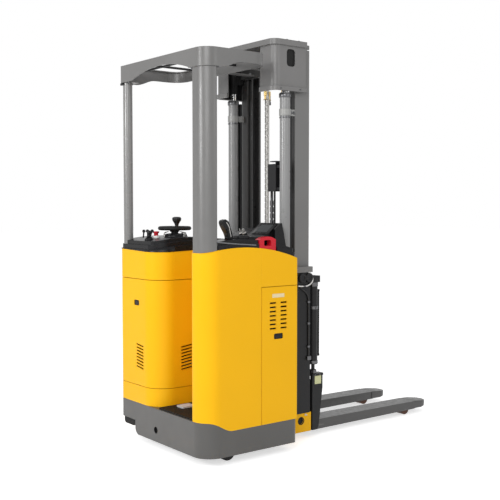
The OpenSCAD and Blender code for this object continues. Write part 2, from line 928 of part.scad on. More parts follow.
// Guide block for the chain and the hose, on an arm from the right-hand barrel.
module chain_block() color([0.07, 0.07, 0.07]) truck() {
    by = -cyl_y + barrel_d / 2;
    difference() {
        union() {
            block([cyl_x - 14, by - 6, block_z1 - 24], [cyl_x + 14, by + 50, block_z1 - 8]);
            block([cyl_x - 14, by - 6, block_z0 + 8], [cyl_x + 14, by + 50, block_z0 + 24]);
            block([cyl_x - 20, by + 30, block_z0], [cyl_x + 20, by + 104, block_z1]);
            block([cyl_x - 16, by + 30, block_z1 + 12], [cyl_x + 16, by + 90, block_z1 + 18]);
            block([cyl_x - 16, by + 30, block_z1 - over], [cyl_x + 16, by + 38, block_z1 + 18]);
        }
        upright(cyl_x, -cyl_y, block_z0 - over, block_z1 + over, barrel_d);
    }
    // chain and hose that hang from the block to the lower cross tie
    block([cyl_x - 4, by + 84, low_tie_z + tie_h], [cyl_x + 4, by + 100, block_z0]);
    block([cyl_x - 4, by + 70, low_tie_z + tie_h - 12], [rail_x - tie_t, by + 100, low_tie_z + tie_h]);
    upright(cyl_x, by + 64, low_tie_z + tie_h - 6, block_z0, 12);
    block([cyl_x - 6, by + 58, low_tie_z + tie_h - 12], [rail_x - tie_t, by + 70, low_tie_z + tie_h]);
}

module inner_rail() {
    difference() {
        block([inner_x, inner_in, inner_foot], [inner_x + inner_d, inner_out, cap_low]);
        block([inner_x + inner_t, inner_in - over, inner_foot - over],
              [inner_x + inner_d - inner_t, inner_out - inner_t, cap_low + over]);
    }
}

module inner_mast() color([0.09, 0.09, 0.09]) truck() {
    both_sides() inner_rail();
    // cross ties at the foot and the head
    block([inner_x, -inner_in - over, inner_foot], [inner_x + inner_t, inner_in + over, inner_foot + 90]);
    block([inner_x, -inner_in - over, cap_low - 90], [inner_x + inner_t, inner_in + over, cap_low]);
}

// Head of the inner mast: a cap plate over two open housings, one round each lift rod's end.
head_r = 42;

module head_corner(inset, x_end) {
    rounded(head_x + inset, head_in, x_end, head_out - inset, [0, 0, 0, head_r - inset]);
}

module mast_head() color([0.5, 0.49, 0.48]) truck() {
    x_end = head_x + head_l;
    translate([0, 0, cap_low]) linear_extrude(cap_t)
        rounded(head_x - 14, -head_out - 10, x_end, head_out + 10, [head_r + 8, 0, 0, head_r + 8]);
    both_sides() {
        difference() {
            union() {
                translate([0, 0, head_low]) linear_extrude(head_d) difference() {
                    head_corner(0, x_end);
                    head_corner(head_wall, x_end + over);
                }
                translate([0, 0, head_low]) linear_extrude(flange_h) difference() {
                    rounded(head_x - 9, head_in, x_end, head_out + 9, [0, 0, 0, head_r + 9]);
                    head_corner(head_wall, x_end + over);
                }
            }
            // access hole beside the rod's end
            translate([cyl_x + 13, head_out - 20, head_low + 193]) rotate([-90, 0, 0])
                linear_extrude(60) rounded(-32, -50, 32, 50, [20, 20, 20, 20]);
        }
        block([x_end, rail_in, cap_low], [rail_front, rail_out, cap_low + cap_t - 8]);
    }
}

module lift_rods() color([0.75, 0.75, 0.75]) truck()
    both_sides() {
        upright(cyl_x, cyl_y, barrel_foot + 60, cap_low, rod_d);
        upright(cyl_x, cyl_y, barrel_foot + 60, barrel_foot + 90, barrel_d - 14 - 2 * run);
        upright(cyl_x, cyl_y, cap_low - 26, cap_low, rod_d + 14);
    }

module sheaves() color([0.62, 0.5, 0.25]) truck()
    for (s = [-1, 1]) difference() {
        union() {
            across(chain_x, s * chain_y - 14, s * chain_y + 14, sheave_z, sheave_d - 16);
            for (e = [-14, 8]) across(chain_x, s * chain_y + e, s * chain_y + e + 6, sheave_z, sheave_d);
            across(chain_x, s * chain_y - 22, s * chain_y + 22, sheave_z, 20);
            for (e = [-22, 16])
                block([chain_x - 16, s * chain_y + e, sheave_z - 12], [chain_x + 16, s * chain_y + e + 6, cap_low]);
        }
    }

module lift_chains() color([0.6, 0.6, 0.58]) truck()
    for (s = [-1, 1]) {
        x0 = chain_x + (sheave_d - 16) / 2;
        block([x0, s * chain_y - 6, chain_low], [x0 + chain_t, s * chain_y + 6, sheave_z]);
        block([x0 - 4, s * chain_y - 9, chain_low - 40], [x0 + chain_t + 4, s * chain_y + 9, chain_low]);
        translate([chain_x, s * chain_y - 6, sheave_z]) rotate([-90, 0, 0]) linear_extrude(12)
            difference() {
                circle(d = sheave_d);
                circle(d = sheave_d - 16);
                translate([-sheave_d, 0]) square([2 * sheave_d, sheave_d]);
            }
    }

// Carriage and forks

carriage_low = leg_z + 6;
carriage_plate_h = 270;
roller_zs = [270, 650];
roller_d = inner_d - 2 * inner_t - 2 * run;
roller_c = inner_x + inner_d / 2;
roller_in = inner_in + 4;
roller_out = inner_out - inner_t - 4;

stile_y = cylinder_y - cylinder_d / 2 - 2;

module carriage() color([0.07, 0.07, 0.07]) truck() {
    // lower plate over the support legs, and the upper plate
    block([carriage_x, -shank_out + shank_t, carriage_low],
          [fork_heel, shank_out - shank_t, carriage_low + carriage_plate_h]);
    block([carriage_x, -stile_y, carriage_h - 150], [fork_heel, stile_y, carriage_h - 30]);
    both_sides() {
        block([carriage_x, stile_y - 60, carriage_low + carriage_plate_h - over], [fork_heel, stile_y, carriage_h]);
        // arms that reach back into the inner rails and carry the rollers
        for (z = roller_zs)
            block([roller_c - 18, inner_in - 20, z - 40], [carriage_x + over, inner_in - 6, z + 40]);
        // head of the shank cylinder
        block([carriage_x, stile_y - over, carriage_h - 40], [carriage_x + 60, shank_out, carriage_h]);
    }
}

module carriage_rollers() color([0.3, 0.3, 0.3]) truck()
    for (s = [-1, 1], z = roller_zs) mirror([0, s < 0 ? 1 : 0, 0]) {
        across(roller_c, roller_in, roller_out, z, roller_d);
        across(roller_c, inner_in - 6, roller_in + over, z, 24);
    }

// One fork: an inverted channel with a sloping, narrowing tip.
fork_mid = overall_l - fork_tip;
tip_z = 52;
tip_w = 70;

module fork_side_profile() {
    polygon([[fork_heel, fork_low], [fork_mid, fork_low], [overall_l - 8, fork_low + 4],
             [overall_l, tip_z - 8], [overall_l - 8, tip_z], [fork_mid, fork_z - 10],
             [fork_heel, fork_z]]);
}

module fork_plan(inset = 0) {
    polygon([[fork_heel - over, -fork_w / 2 + inset], [fork_mid, -fork_w / 2 + inset],
             [overall_l - inset, -tip_w / 2 + inset], [overall_l - inset, tip_w / 2 - inset],
             [fork_mid, fork_w / 2 - inset], [fork_heel - over, fork_w / 2 - inset]]);
}

module fork() {
    difference() {
        intersection() {
            translate([0, fork_w / 2, 0]) rotate([90, 0, 0]) linear_extrude(fork_w) fork_side_profile();
            linear_extrude(2 * fork_z) fork_plan();
        }
        // channel that the support leg lies in
        intersection() {
            translate([-over, fork_w / 2, -fork_t]) rotate([90, 0, 0]) linear_extrude(fork_w)
                polygon([[fork_heel - 2 * over, 0], [fork_mid + 20, 0], [fork_mid + 20, fork_z - 12],
                         [fork_mid, fork_z - 10], [fork_heel - 2 * over, fork_z]]);
            translate([0, 0, -over]) linear_extrude(2 * fork_z)
                translate([fork_heel - 2 * over, -fork_w / 2 + fork_t]) square([overall_l, fork_w - 2 * fork_t]);
        }
    }
}

module forks() color([0.1, 0.1, 0.1]) truck()
    for (s = [-1, 1]) translate([0, s * fork_c, 0]) fork();

shank_w_top = 84;
shank_w_low = 52;

module shanks() color([0.08, 0.08, 0.08]) truck()
    both_sides() {
        translate([0, shank_out, 0]) rotate([90, 0, 0]) linear_extrude(shank_t) difference() {
            polygon([[carriage_x, 44], [carriage_x + shank_w_low - 14, 44],
                     [carriage_x + shank_w_low, 62], [carriage_x + shank_w_top, shank_top - 90],
                     [carriage_x + shank_w_top, shank_top], [carriage_x, shank_top]]);
        }
        block([carriage_x, shank_out - shank_t - 26, shank_top - 14],
              [carriage_x + shank_w_top + 4, shank_out + 2, shank_top]);
    }

cylinder_z0 = 448;

module shank_cylinders() color([0.3, 0.3, 0.31]) truck()
    both_sides() {
        upright(cylinder_x, cylinder_y, cylinder_z0, carriage_h - 40, cylinder_d);
        upright(cylinder_x, cylinder_y, shank_top + 24, cylinder_z0, 22);
        upright(cylinder_x, cylinder_y, shank_top, shank_top + 24, 38);
    }

hose_d = 13;
hose_x = cylinder_x + 42;
hose_z0 = cylinder_z0 + 52;
hose_z1 = carriage_h - 92;
hose_port = 12;

module cylinder_hoses() color([0.05, 0.05, 0.05]) truck()
    both_sides() {
        upright(hose_x, cylinder_y, hose_z0, hose_z1, hose_d);
        for (z = [hose_z0, hose_z1])
            block([cylinder_x + cylinder_d / 2 + seat, cylinder_y - hose_port / 2, z - hose_port / 2],
                  [hose_x + hose_port / 2, cylinder_y + hose_port / 2, z + hose_port / 2]);
    }

// Support legs and wheels

root_pin_x = 813;
root_pin_z = 117;

module leg_roots() color([0.96, 0.72, 0.08]) truck()
    both_sides() difference() {
        union() {
            block([body_l, root_in, root_low], [root_front, root_out, root_top]);
        }
        translate([root_pin_x, root_out - 10, root_pin_z]) rotate([-90, 0, 0]) cylinder(d = 38, h = 20);
    }

module support_legs() color([0.12, 0.12, 0.12]) truck()
    for (s = [-1, 1]) translate([0, s * fork_c, 0]) difference() {
        block([root_front, -leg_w / 2, 34], [leg_front, leg_w / 2, leg_z]);
        block([load_x - load_d / 2 - 8, -load_w / 2 - 3, 30], [load_x + load_d / 2 + 8, load_w / 2 + 3, leg_z + over]);
        across(load_x, -leg_w, leg_w, load_d / 2, 20);
    }

module load_wheel(s) truck()
    translate([0, s * fork_c, 0]) {
        across(load_x, -load_w / 2, load_w / 2, load_d / 2, load_d);
        across(load_x, -leg_w / 2 + 3, leg_w / 2 - 3, load_d / 2, 20 - 2 * run);
    }

module load_wheel_right() color([0.75, 0.35, 0.1]) load_wheel(-1);

module load_wheel_left() color([0.75, 0.35, 0.1]) load_wheel(1);

turret_t = 18;
ring_w = 10;
ring_h = 6;
motor_d = 160;
motor_h = 250;
arm_t = 14;

module drive_turret() color([0.3, 0.3, 0.32]) truck()
    translate([drive_x, drive_y, 0]) difference() {
        union() {
            translate([0, 0, drive_d + clear]) cylinder(r = turret_r - clear, h = deck_z + ring_h - drive_d);
            translate([0, 0, deck_z + ring_h + seat]) cylinder(r = turret_r + ring_w - 2, h = turret_t);
            translate([0, 0, deck_z + ring_h]) cylinder(d = motor_d, h = motor_h);
            for (e = [-1, 1]) mirror([0, e < 0 ? 1 : 0, 0])
                block([-42, drive_w / 2 + clear, drive_d / 2 - 28],
                      [42, drive_w / 2 + clear + arm_t, drive_d + clear + over]);
        }
        across(0, -drive_w, drive_w, drive_d / 2, 30);
    }

module drive_wheel() color([0.1, 0.1, 0.1]) truck()
    translate([drive_x, drive_y, 0]) {
        across(0, -drive_w / 2, drive_w / 2, drive_d / 2, drive_d);
        across(0, -drive_w / 2 - clear - arm_t, drive_w / 2 + clear + arm_t, drive_d / 2, 30 - 2 * run);
    }

castor_top = castor_d / 2 + 72;
castor_plate = 12;

module castor_mounts() color([0.3, 0.3, 0.3]) truck() {
    upright(left_castor[0], left_castor[1], castor_top + castor_plate + seat, deck_low, 84);
    upright(right_castor[0], right_castor[1], castor_top + castor_plate + seat, sill_z - plate_t, 84);
}

module castor_fork(at) truck()
    translate([at[0], at[1], 0]) difference() {
        union() {
            translate([0, 0, castor_top]) cylinder(d = 84, h = castor_plate);
            for (e = [-1, 1]) hull() {
                translate([-24, e * (castor_w / 2 + 6) - 3, castor_top]) cube([48, 6, 6]);
                translate([-trail, e * (castor_w / 2 + 6) - 3, castor_d / 2]) rotate([-90, 0, 0])
                    cylinder(d = 32, h = 6, $fn = 32);
            }
        }
        across(-trail, -castor_w, castor_w, castor_d / 2, 14);
    }

module castor_fork_right() color([0.5, 0.5, 0.5]) castor_fork(right_castor);

module castor_fork_left() color([0.5, 0.5, 0.5]) castor_fork(left_castor);

module castor_wheel(at) truck()
    translate([at[0] - trail, at[1], 0]) {
        across(0, -castor_w / 2, castor_w / 2, castor_d / 2, castor_d);
        across(0, -castor_w / 2 - 9, castor_w / 2 + 9, castor_d / 2, 14 - 2 * run);
    }

module castor_wheel_right() color([0.12, 0.12, 0.12]) castor_wheel(right_castor);

module castor_wheel_left() color([0.12, 0.12, 0.12]) castor_wheel(left_castor);

base();
floor_mat();
pedal();
left_cabinet();
left_service_panel();
right_cabinet();
battery_cover();
side_panel();
battery();
console();
steering_column();
steering_wheel();
wheel_knob();
gauge();
joystick();
stop_button();
control_handle();
key_switches();
display_shroud();
disconnect_handle();
guard_ring();
guard_bars();
right_post();
left_post();
guard_stays();
outer_mast();
mast_brackets();
side_covers();
lift_barrels();
barrel_clamps();
chain_block();
inner_mast();
mast_head();
lift_rods();
sheaves();
lift_chains();
carriage();
carriage_rollers();
forks();
shanks();
shank_cylinders();
cylinder_hoses();
leg_roots();
support_legs();
load_wheel_right();
load_wheel_left();
drive_turret();
drive_wheel();
castor_mounts();
castor_fork_right();
castor_wheel_right();
castor_fork_left();
castor_wheel_left();
corner_buffer();
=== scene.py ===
"""Looks of a stand-on electric pallet stacker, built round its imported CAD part.

Metres, in the frame of the CAD part: +X towards the fork tips, +Y left, +Z up, origin on the
floor under the middle of the truck. Lengths that come from the rear face are written in
millimetres and turned into that frame by at().
"""
import math

import bpy
import bmesh
from mathutils import Matrix, Vector
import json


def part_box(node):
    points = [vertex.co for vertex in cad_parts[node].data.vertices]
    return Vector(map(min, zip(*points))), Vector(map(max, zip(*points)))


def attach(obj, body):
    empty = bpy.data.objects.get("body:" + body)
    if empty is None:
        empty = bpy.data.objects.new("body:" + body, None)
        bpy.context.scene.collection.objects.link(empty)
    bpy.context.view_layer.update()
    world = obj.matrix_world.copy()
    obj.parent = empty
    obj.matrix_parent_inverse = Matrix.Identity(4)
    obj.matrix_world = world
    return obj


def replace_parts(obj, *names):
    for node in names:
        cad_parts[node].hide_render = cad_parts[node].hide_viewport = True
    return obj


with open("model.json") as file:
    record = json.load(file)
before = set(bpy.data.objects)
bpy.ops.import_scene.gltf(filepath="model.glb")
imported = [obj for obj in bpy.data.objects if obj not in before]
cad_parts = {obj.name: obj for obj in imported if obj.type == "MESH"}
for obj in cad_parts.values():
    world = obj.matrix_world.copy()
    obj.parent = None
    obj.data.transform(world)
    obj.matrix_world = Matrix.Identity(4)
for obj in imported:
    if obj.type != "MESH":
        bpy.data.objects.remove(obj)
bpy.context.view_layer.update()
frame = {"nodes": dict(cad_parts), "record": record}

MM = 0.001
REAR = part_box("base")[0].x
BOTH = (-1, 1)  # right and left, as signs of y


def at(x, y, z):
    """A point given in millimetres from the rear face, the centre line and the floor."""
    return Vector((REAR + x * MM, y * MM, z * MM))


def put(name, data):
    """Links a new object to the scene."""
    obj = bpy.data.objects.new(name, data)
    bpy.context.scene.collection.objects.link(obj)
    return obj


# Camera, worked out from the photograph: a long lens at head height behind the right corner.
# Millimetres as for at(), and degrees.
CAMERA_AT = (-2602.8, -4204.4, 1410.7)
CAMERA_YAW = 52.286
CAMERA_PITCH = -2.874
CAMERA_LENS = 62.54
SENSOR = 36.0

camera_data = bpy.data.cameras.new("camera")
camera_data.lens = CAMERA_LENS
camera_data.sensor_width = SENSOR
camera_data.clip_end = 100
camera = put("camera", camera_data)
camera.location = at(*CAMERA_AT)
camera.rotation_euler = (math.radians(90 + CAMERA_PITCH), 0, math.radians(CAMERA_YAW - 90))
bpy.context.scene.camera = camera


# Materials

EDGE_RADIUS = 2.8 * MM  # every edge is shaded as if it were rounded this much
EDGE_SAMPLES = 6
PAINTED_SHADE_ENDS = (0.2545, 0.2560)  # distance from the centre line at which the painted shade on the rails' inner faces ends


class Shader:
    """A node material that is put together call by call."""

    def __init__(self, name):
        self.material = bpy.data.materials.new(name)
        self.material.use_nodes = True
        self.tree = self.material.node_tree
        self.bsdf = self.tree.nodes["Principled BSDF"]
        coords = self.tree.nodes.new("ShaderNodeTexCoord")
        self.place = coords.outputs["Object"]

    def set(self, **sockets):
        for key, value in sockets.items():
            self.bsdf.inputs[key.replace("_", " ")].default_value = value
        return self

    def stretch(self, scale):
        node = self.tree.nodes.new("ShaderNodeMapping")
        node.inputs["Scale"].default_value = scale
        self.tree.links.new(self.place, node.inputs["Vector"])
        return node.outputs["Vector"]

    def noise(self, scale, detail=4.0, rough=0.5, vector=None):
        node = self.tree.nodes.new("ShaderNodeTexNoise")
        node.inputs["Scale"].default_value = scale
        node.inputs["Detail"].default_value = detail
        node.inputs["Roughness"].default_value = rough
        self.tree.links.new(vector or self.place, node.inputs["Vector"])
        return node.outputs["Fac"]

    def ramp(self, value, low, high, out_low=0.0, out_high=1.0):
        node = self.tree.nodes.new("ShaderNodeMapRange")
        node.inputs["From Min"].default_value = low
        node.inputs["From Max"].default_value = high
        node.inputs["To Min"].default_value = out_low
        node.inputs["To Max"].default_value = out_high
        self.tree.links.new(value, node.inputs["Value"])
        return node.outputs["Result"]

    def spread(self, value, low=0.0, high=1.0):
        """The middle of a noise, where most of its values lie, stretched over low to high."""
        return self.ramp(value, 0.3, 0.7, low, high)

    def mix(self, factor, first, second):
        node = self.tree.nodes.new("ShaderNodeMix")
        node.data_type = "RGBA"
        self.tree.links.new(factor, node.inputs["Factor"])
        for socket, value in ((node.inputs["A"], first), (node.inputs["B"], second)):
            if isinstance(value, tuple):
                socket.default_value = value
            else:
                self.tree.links.new(value, socket)
        return [out for out in node.outputs if out.type == "RGBA"][0]

    def times(self, first, second):
        node = self.tree.nodes.new("ShaderNodeMath")
        node.operation = "MULTIPLY"
        self.tree.links.new(first, node.inputs[0])
        self.tree.links.new(second, node.inputs[1])
        return node.outputs[0]

    def link(self, value, socket):
        self.tree.links.new(value, self.bsdf.inputs[socket])
        return self

    def bump(self, height, distance, strength=1.0):
        edge = self.tree.nodes.new("ShaderNodeBevel")
        edge.samples = EDGE_SAMPLES
        edge.inputs["Radius"].default_value = EDGE_RADIUS
        node = self.tree.nodes.new("ShaderNodeBump")
        self.tree.links.new(edge.outputs["Normal"], node.inputs["Normal"])
        node.inputs["Distance"].default_value = distance
        node.inputs["Strength"].default_value = strength
        self.tree.links.new(height, node.inputs["Height"])
        self.tree.links.new(node.outputs["Normal"], self.bsdf.inputs["Normal"])
        return self


def rgb(red, green, blue):
    return (red, green, blue, 1.0)


def shade(colour, factor):
    return tuple(channel * factor for channel in colour[:3]) + (1.0,)


def paint(name, colour, gloss, grain=900.0, grain_depth=0.00006, coat=0.0, patch=0.06, shine=0.5):
    """Sprayed paint: faint clouding, uneven gloss and a fine orange-peel surface."""
    s = Shader(name)
    tone = s.mix(s.spread(s.noise(2.2, 3.0)), shade(colour, 1 - patch), shade(colour, 1 + patch))
    s.link(tone, "Base Color")
    s.link(s.spread(s.noise(14.0, 6.0), gloss - 0.05, gloss + 0.06), "Roughness")
    s.set(Coat_Weight=coat, Coat_Roughness=0.12, Specular_IOR_Level=shine)
    s.bump(s.noise(grain, 2.0), grain_depth, 0.4)
    return s.material


def worn_paint(name, colour, gloss, bare, amount, streak=(1.0, 1.0, 1.0), shine=0.3):
    """Paint that is rubbed through to the metal in scattered streaks."""
    s = Shader(name)
    marks = s.noise(26.0, 9.0, 0.62, s.stretch(streak))
    patches = s.noise(3.1, 3.0)
    wear = s.times(s.ramp(marks, 0.60, 0.68), s.ramp(patches, 0.62 - amount, 0.75 - amount))
    s.link(s.mix(wear, colour, bare), "Base Color")
    s.link(s.spread(s.noise(40.0, 6.0), gloss - 0.06, gloss + 0.08), "Roughness")
    s.set(Specular_IOR_Level=shine)
    s.bump(s.noise(320.0, 4.0), 0.00015, 0.5)
    return s.material


def moulding(name, colour, gloss, grain=1400.0, depth=0.00012, shine=0.3):
    """Moulded plastic or rubber with a fine grain."""
    s = Shader(name)
    tone = s.mix(s.spread(s.noise(5.0, 4.0)), shade(colour, 0.85), shade(colour, 1.2))
    s.link(tone, "Base Color")
    s.link(s.spread(s.noise(60.0, 5.0), gloss - 0.06, gloss + 0.06), "Roughness")
    s.set(Specular_IOR_Level=shine)
    s.bump(s.noise(grain, 2.0), depth, 0.6)
    return s.material


def metal(name, colour, gloss, brush=(1.0, 1.0, 40.0), depth=0.00004):
    """Bare metal with fine brush lines; brush stretches them along the axes."""
    s = Shader(name)
    lines = s.noise(60.0, 4.0, 0.6, s.stretch(brush))
    s.link(s.mix(s.spread(lines), shade(colour, 0.82), shade(colour, 1.1)), "Base Color")
    s.link(s.spread(lines, gloss - 0.08, gloss + 0.1), "Roughness")
    s.set(Metallic=1.0)
    s.bump(lines, depth, 0.5)
    return s.material


def rail_paint():
    """The mast paint, with painted shade: darker on the faces nearer the centre line, between the rails,
    where little light falls.
    """
    s = Shader("mast_rail")
    tone = s.mix(s.spread(s.noise(2.2, 3.0)), rgb(0.150, 0.148, 0.146), rgb(0.170, 0.168, 0.165))
    split = s.tree.nodes.new("ShaderNodeSeparateXYZ")
    s.tree.links.new(s.place, split.inputs["Vector"])
    off_centre = s.tree.nodes.new("ShaderNodeMath")
    off_centre.operation = "ABSOLUTE"
    s.tree.links.new(split.outputs["Y"], off_centre.inputs[0])
    # painted shade: the mix below darkens the paint on the inner faces of the rails
    painted_shade = s.ramp(off_centre.outputs[0], *PAINTED_SHADE_ENDS, 1.0, 0.0)
    s.link(s.mix(painted_shade, tone, rgb(0.045, 0.044, 0.043)), "Base Color")
    s.link(s.spread(s.noise(14.0, 6.0), 0.33, 0.44), "Roughness")
    s.bump(s.noise(700.0, 2.0), 0.00012, 0.4)
    return s.material


YELLOW = paint("yellow_paint", rgb(0.90, 0.475, 0.006), 0.36, patch=0.02, shine=0.14)
CHASSIS = paint("chassis_grey", rgb(0.072, 0.071, 0.069), 0.36, 500.0, 0.0001, patch=0.08, shine=0.55)
GUARD = paint("guard_grey", rgb(0.140, 0.138, 0.135), 0.33, 700.0, 0.00012, patch=0.05)
MAST = paint("mast_grey", rgb(0.160, 0.157, 0.155), 0.38, 700.0, 0.00012, patch=0.06)
BARREL = paint("barrel_grey", rgb(0.24, 0.24, 0.24), 0.30, 700.0, 0.00008, patch=0.04)
BLACK = worn_paint("frame_black", rgb(0.014, 0.014, 0.015), 0.40, rgb(0.10, 0.095, 0.09), 0.12,
                   (1.0, 1.0, 0.15), 0.2)
FORK = worn_paint("fork_black", rgb(0.060, 0.059, 0.058), 0.36, rgb(0.20, 0.19, 0.185), 0.2,
                  (0.12, 1.0, 1.0), 0.5)
PLASTIC = moulding("moulded_black", rgb(0.007, 0.007, 0.008), 0.30, shine=0.2)
SOFT = moulding("soft_black", rgb(0.008, 0.008, 0.008), 0.6, 900.0, 0.0002, 0.2)
CASE = moulding("battery_case", rgb(0.03, 0.035, 0.045), 0.6)
STEEL = metal("bare_steel", rgb(0.52, 0.51, 0.49), 0.36)
RAIL = rail_paint()
CHROME = metal("rod_chrome", rgb(0.78, 0.78, 0.78), 0.14, (1.0, 1.0, 4.0), 0.00001)
BRASS = metal("brass_zinc", rgb(0.58, 0.42, 0.17), 0.34)
RED = paint("red_plastic", rgb(0.56, 0.008, 0.022), 0.26, 900.0, 0.00003, patch=0.04, shine=0.3)
TREAD = moulding("wheel_tread", rgb(0.020, 0.020, 0.020), 0.62, 260.0, 0.0004)
POLYURETHANE = moulding("load_tread", rgb(0.10, 0.035, 0.014), 0.4, 200.0, 0.0002)

SLOTS = {
    "yellow_paint": YELLOW, "chassis_grey": CHASSIS, "guard_grey": GUARD, "mast_grey": MAST,
    "frame_black": BLACK, "moulded_black": PLASTIC, "soft_black": SOFT, "battery_case": CASE,
    "bare_steel": STEEL, "rod_chrome": CHROME, "brass_zinc": BRASS, "red_plastic": RED,
    "wheel_tread": TREAD, "load_tread": POLYURETHANE,
}

# Nodes whose finish differs from the rest of their slot.
INNER = worn_paint("inner_channel_grey", rgb(0.040, 0.040, 0.040), 0.32, rgb(0.17, 0.165, 0.16), 0.3,
                   (1.0, 1.0, 0.03), 0.4)
CLAMP = paint("clamp_grey", rgb(0.30, 0.30, 0.29), 0.32, 700.0, 0.00008, patch=0.04)
# painted sheen: the left post is a lighter copy of the guard grey, standing in for the sheen on its rounded
# face; its lower roughness is its own
POST_PAINTED_SHEEN = paint("post_grey_painted_sheen", rgb(0.20, 0.198, 0.195), 0.24, 700.0, 0.00008, patch=0.04)
PEDAL = paint("pedal_grey", rgb(0.52, 0.52, 0.54), 0.5, 500.0, 0.0002, shine=0.3)
OWN_FINISH = {
    "inner_mast": INNER, "barrel_clamps": CLAMP, "left_post": POST_PAINTED_SHEEN, "pedal": PEDAL, "outer_mast": RAIL,
    "forks": FORK, "support_legs": FORK, "lift_barrels": BARREL,
}


def dress(obj, material):
    obj.data.materials.clear()
    obj.data.materials.append(material)


for part in frame["record"]["subparts"]:
    node = part["node"]
    dress(frame["nodes"][node], OWN_FINISH.get(node) or SLOTS[part["material_slot"]])


# Mesh tools. What begins with add_ puts closed shapes into a bmesh, in millimetres from the rear face.

def add_block(bm, low, high, bevel=0.0, segments=2):
    low, high = Vector(low), Vector(high)
    made = bmesh.ops.create_cube(bm, size=1.0)
    middle, span = (low + high) / 2, high - low
    for vert in made["verts"]:
        vert.co = middle + Vector(vert.co[i] * span[i] for i in range(3))
    if bevel:
        edges = list(dict.fromkeys(edge for vert in made["verts"] for edge in vert.link_edges))
        bmesh.ops.bevel(bm, geom=edges, offset=bevel, segments=segments, profile=0.6,
                        affect="EDGES")


def add_side_block(bm, side, low, high, bevel=0.0):
    """A block given for the left side, or its mirror image if side is -1."""
    near, far = sorted((side * low[1], side * high[1]))
    add_block(bm, (low[0], near, low[2]), (high[0], far, high[2]), bevel)


def turn_to(axis):
    """The rotation that takes the z axis to another one."""
    return Vector((0, 0, 1)).rotation_difference(Vector(axis)).to_matrix()


def add_lathe(bm, profile, place, axis=(0, 0, 1), sides=32):
    """Revolves (radius, height) points, first and last on the axis or else a closed ring."""
    turn, place = turn_to(axis), Vector(place)
    closed = profile[0][0] > 0 and profile[-1][0] > 0
    rings = []
    for radius, height in profile:
        if radius <= 0:
            rings.append([bm.verts.new(place + turn @ Vector((0, 0, height)))])
            continue
        ring = []
        for i in range(sides):
            angle = 2 * math.pi * i / sides
            spot = Vector((radius * math.cos(angle), radius * math.sin(angle), height))
            ring.append(bm.verts.new(place + turn @ spot))
        rings.append(ring)
    pairs = list(zip(rings, rings[1:]))
    if closed:
        pairs.append((rings[-1], rings[0]))
    for low, high in pairs:
        for i in range(sides):
            j = (i + 1) % sides
            if len(low) == 1:
                bm.faces.new((low[0], high[j], high[i]))
            elif len(high) == 1:
                bm.faces.new((low[i], low[j], high[0]))
            else:
                bm.faces.new((low[i], low[j], high[j], high[i]))


def add_prism(bm, outline, start, along, across, depth, bevel=0.0):
    """Extrudes a flat outline of (along, across) points by depth, on their common normal."""
    start, along, across = Vector(start), Vector(along), Vector(across)
    out = along.cross(across).normalized() * depth
    low = [bm.verts.new(start + along * u + across * v) for u, v in outline]
    high = [bm.verts.new(vert.co + out) for vert in low]
    bottom = bm.faces.new(list(reversed(low)))
    top = bm.faces.new(high)
    for i in range(len(low)):
        j = (i + 1) % len(low)
        bm.faces.new((low[i], low[j], high[j], high[i]))
    if bevel:
        edges = list(top.edges) + list(bottom.edges)
        bmesh.ops.bevel(bm, geom=edges, offset=bevel, segments=2, profile=0.6, affect="EDGES")


def add_tube(bm, path, radius, sides=10):
    """A round tube with closed ends along a list of points."""
    path = [Vector(point) for point in path]
    normal = None
    rings = []
    for i, point in enumerate(path):
        way = (path[min(i + 1, len(path) - 1)] - path[max(i - 1, 0)]).normalized()
        if normal is None:
            normal = way.orthogonal().normalized()
        normal = (normal - way * normal.dot(way)).normalized()
        side = way.cross(normal)
        rings.append([bm.verts.new(point + (normal * math.cos(2 * math.pi * k / sides)
                                            + side * math.sin(2 * math.pi * k / sides)) * radius)
                      for k in range(sides)])
    for low, high in zip(rings, rings[1:]):
        for i in range(sides):
            j = (i + 1) % sides
            bm.faces.new((low[i], low[j], high[j], high[i]))
    bm.faces.new(list(reversed(rings[0])))
    bm.faces.new(rings[-1])


def rounded_rect(width, height, radius, steps=5):
    """The outline of a rectangle with round corners, about its middle."""
    points = []
    for cx, cy, first in ((1, 1, 0), (-1, 1, 90), (-1, -1, 180), (1, -1, 270)):
        for i in range(steps + 1):
            angle = math.radians(first + 90 * i / steps)
            points.append((cx * (width / 2 - radius) + radius * math.cos(angle),
                           cy * (height / 2 - radius) + radius * math.sin(angle)))
    return points


def smooth_path(points, steps=8):
    """A Catmull-Rom curve through points, for pipes, trim and levers."""
    points = [Vector(point) for point in points]
    ends = [2 * points[0] - points[1]] + points + [2 * points[-1] - points[-2]]
    path = []
    for a, b, c, d in zip(ends, ends[1:], ends[2:], ends[3:]):
        for i in range(steps):
            t = i / steps
            path.append(0.5 * (2 * b + (c - a) * t + (2 * a - 5 * b + 4 * c - d) * t * t
                               + (3 * b - a - 3 * c + d) * t ** 3))
    path.append(points[-1])
    return path


def as_mesh(name, bm):
    mesh = bpy.data.meshes.new(name)
    bm.to_mesh(mesh)
    bm.free()
    return mesh


def hand_over(name, mesh, material, body):
    """Puts a finished mesh in the scene, in its material and on its body."""
    obj = put(name, mesh)
    dress(obj, material)
    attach(obj, body)
    return obj


def cut_copy(name, node, cuts, material, body, adjust=None):
    """A closed copy of a CAD node with what lies outside each (place, normal) cut taken away."""
    bm = bmesh.new()
    bm.from_mesh(frame["nodes"][node].data)
    bmesh.ops.remove_doubles(bm, verts=bm.verts, dist=1e-6)
    for place, normal in cuts:
        bmesh.ops.bisect_plane(bm, geom=bm.verts[:] + bm.edges[:] + bm.faces[:], plane_co=place,
                               plane_no=normal, clear_outer=True)
        rim = [edge for edge in bm.edges if len(edge.link_faces) == 1]
        bmesh.ops.triangle_fill(bm, edges=rim, use_beauty=True)
    for vert in bm.verts if adjust else ():
        vert.co = adjust(vert.co)
    bmesh.ops.recalc_face_normals(bm, faces=bm.faces)
    return hand_over(name, as_mesh(name, bm), material, body)


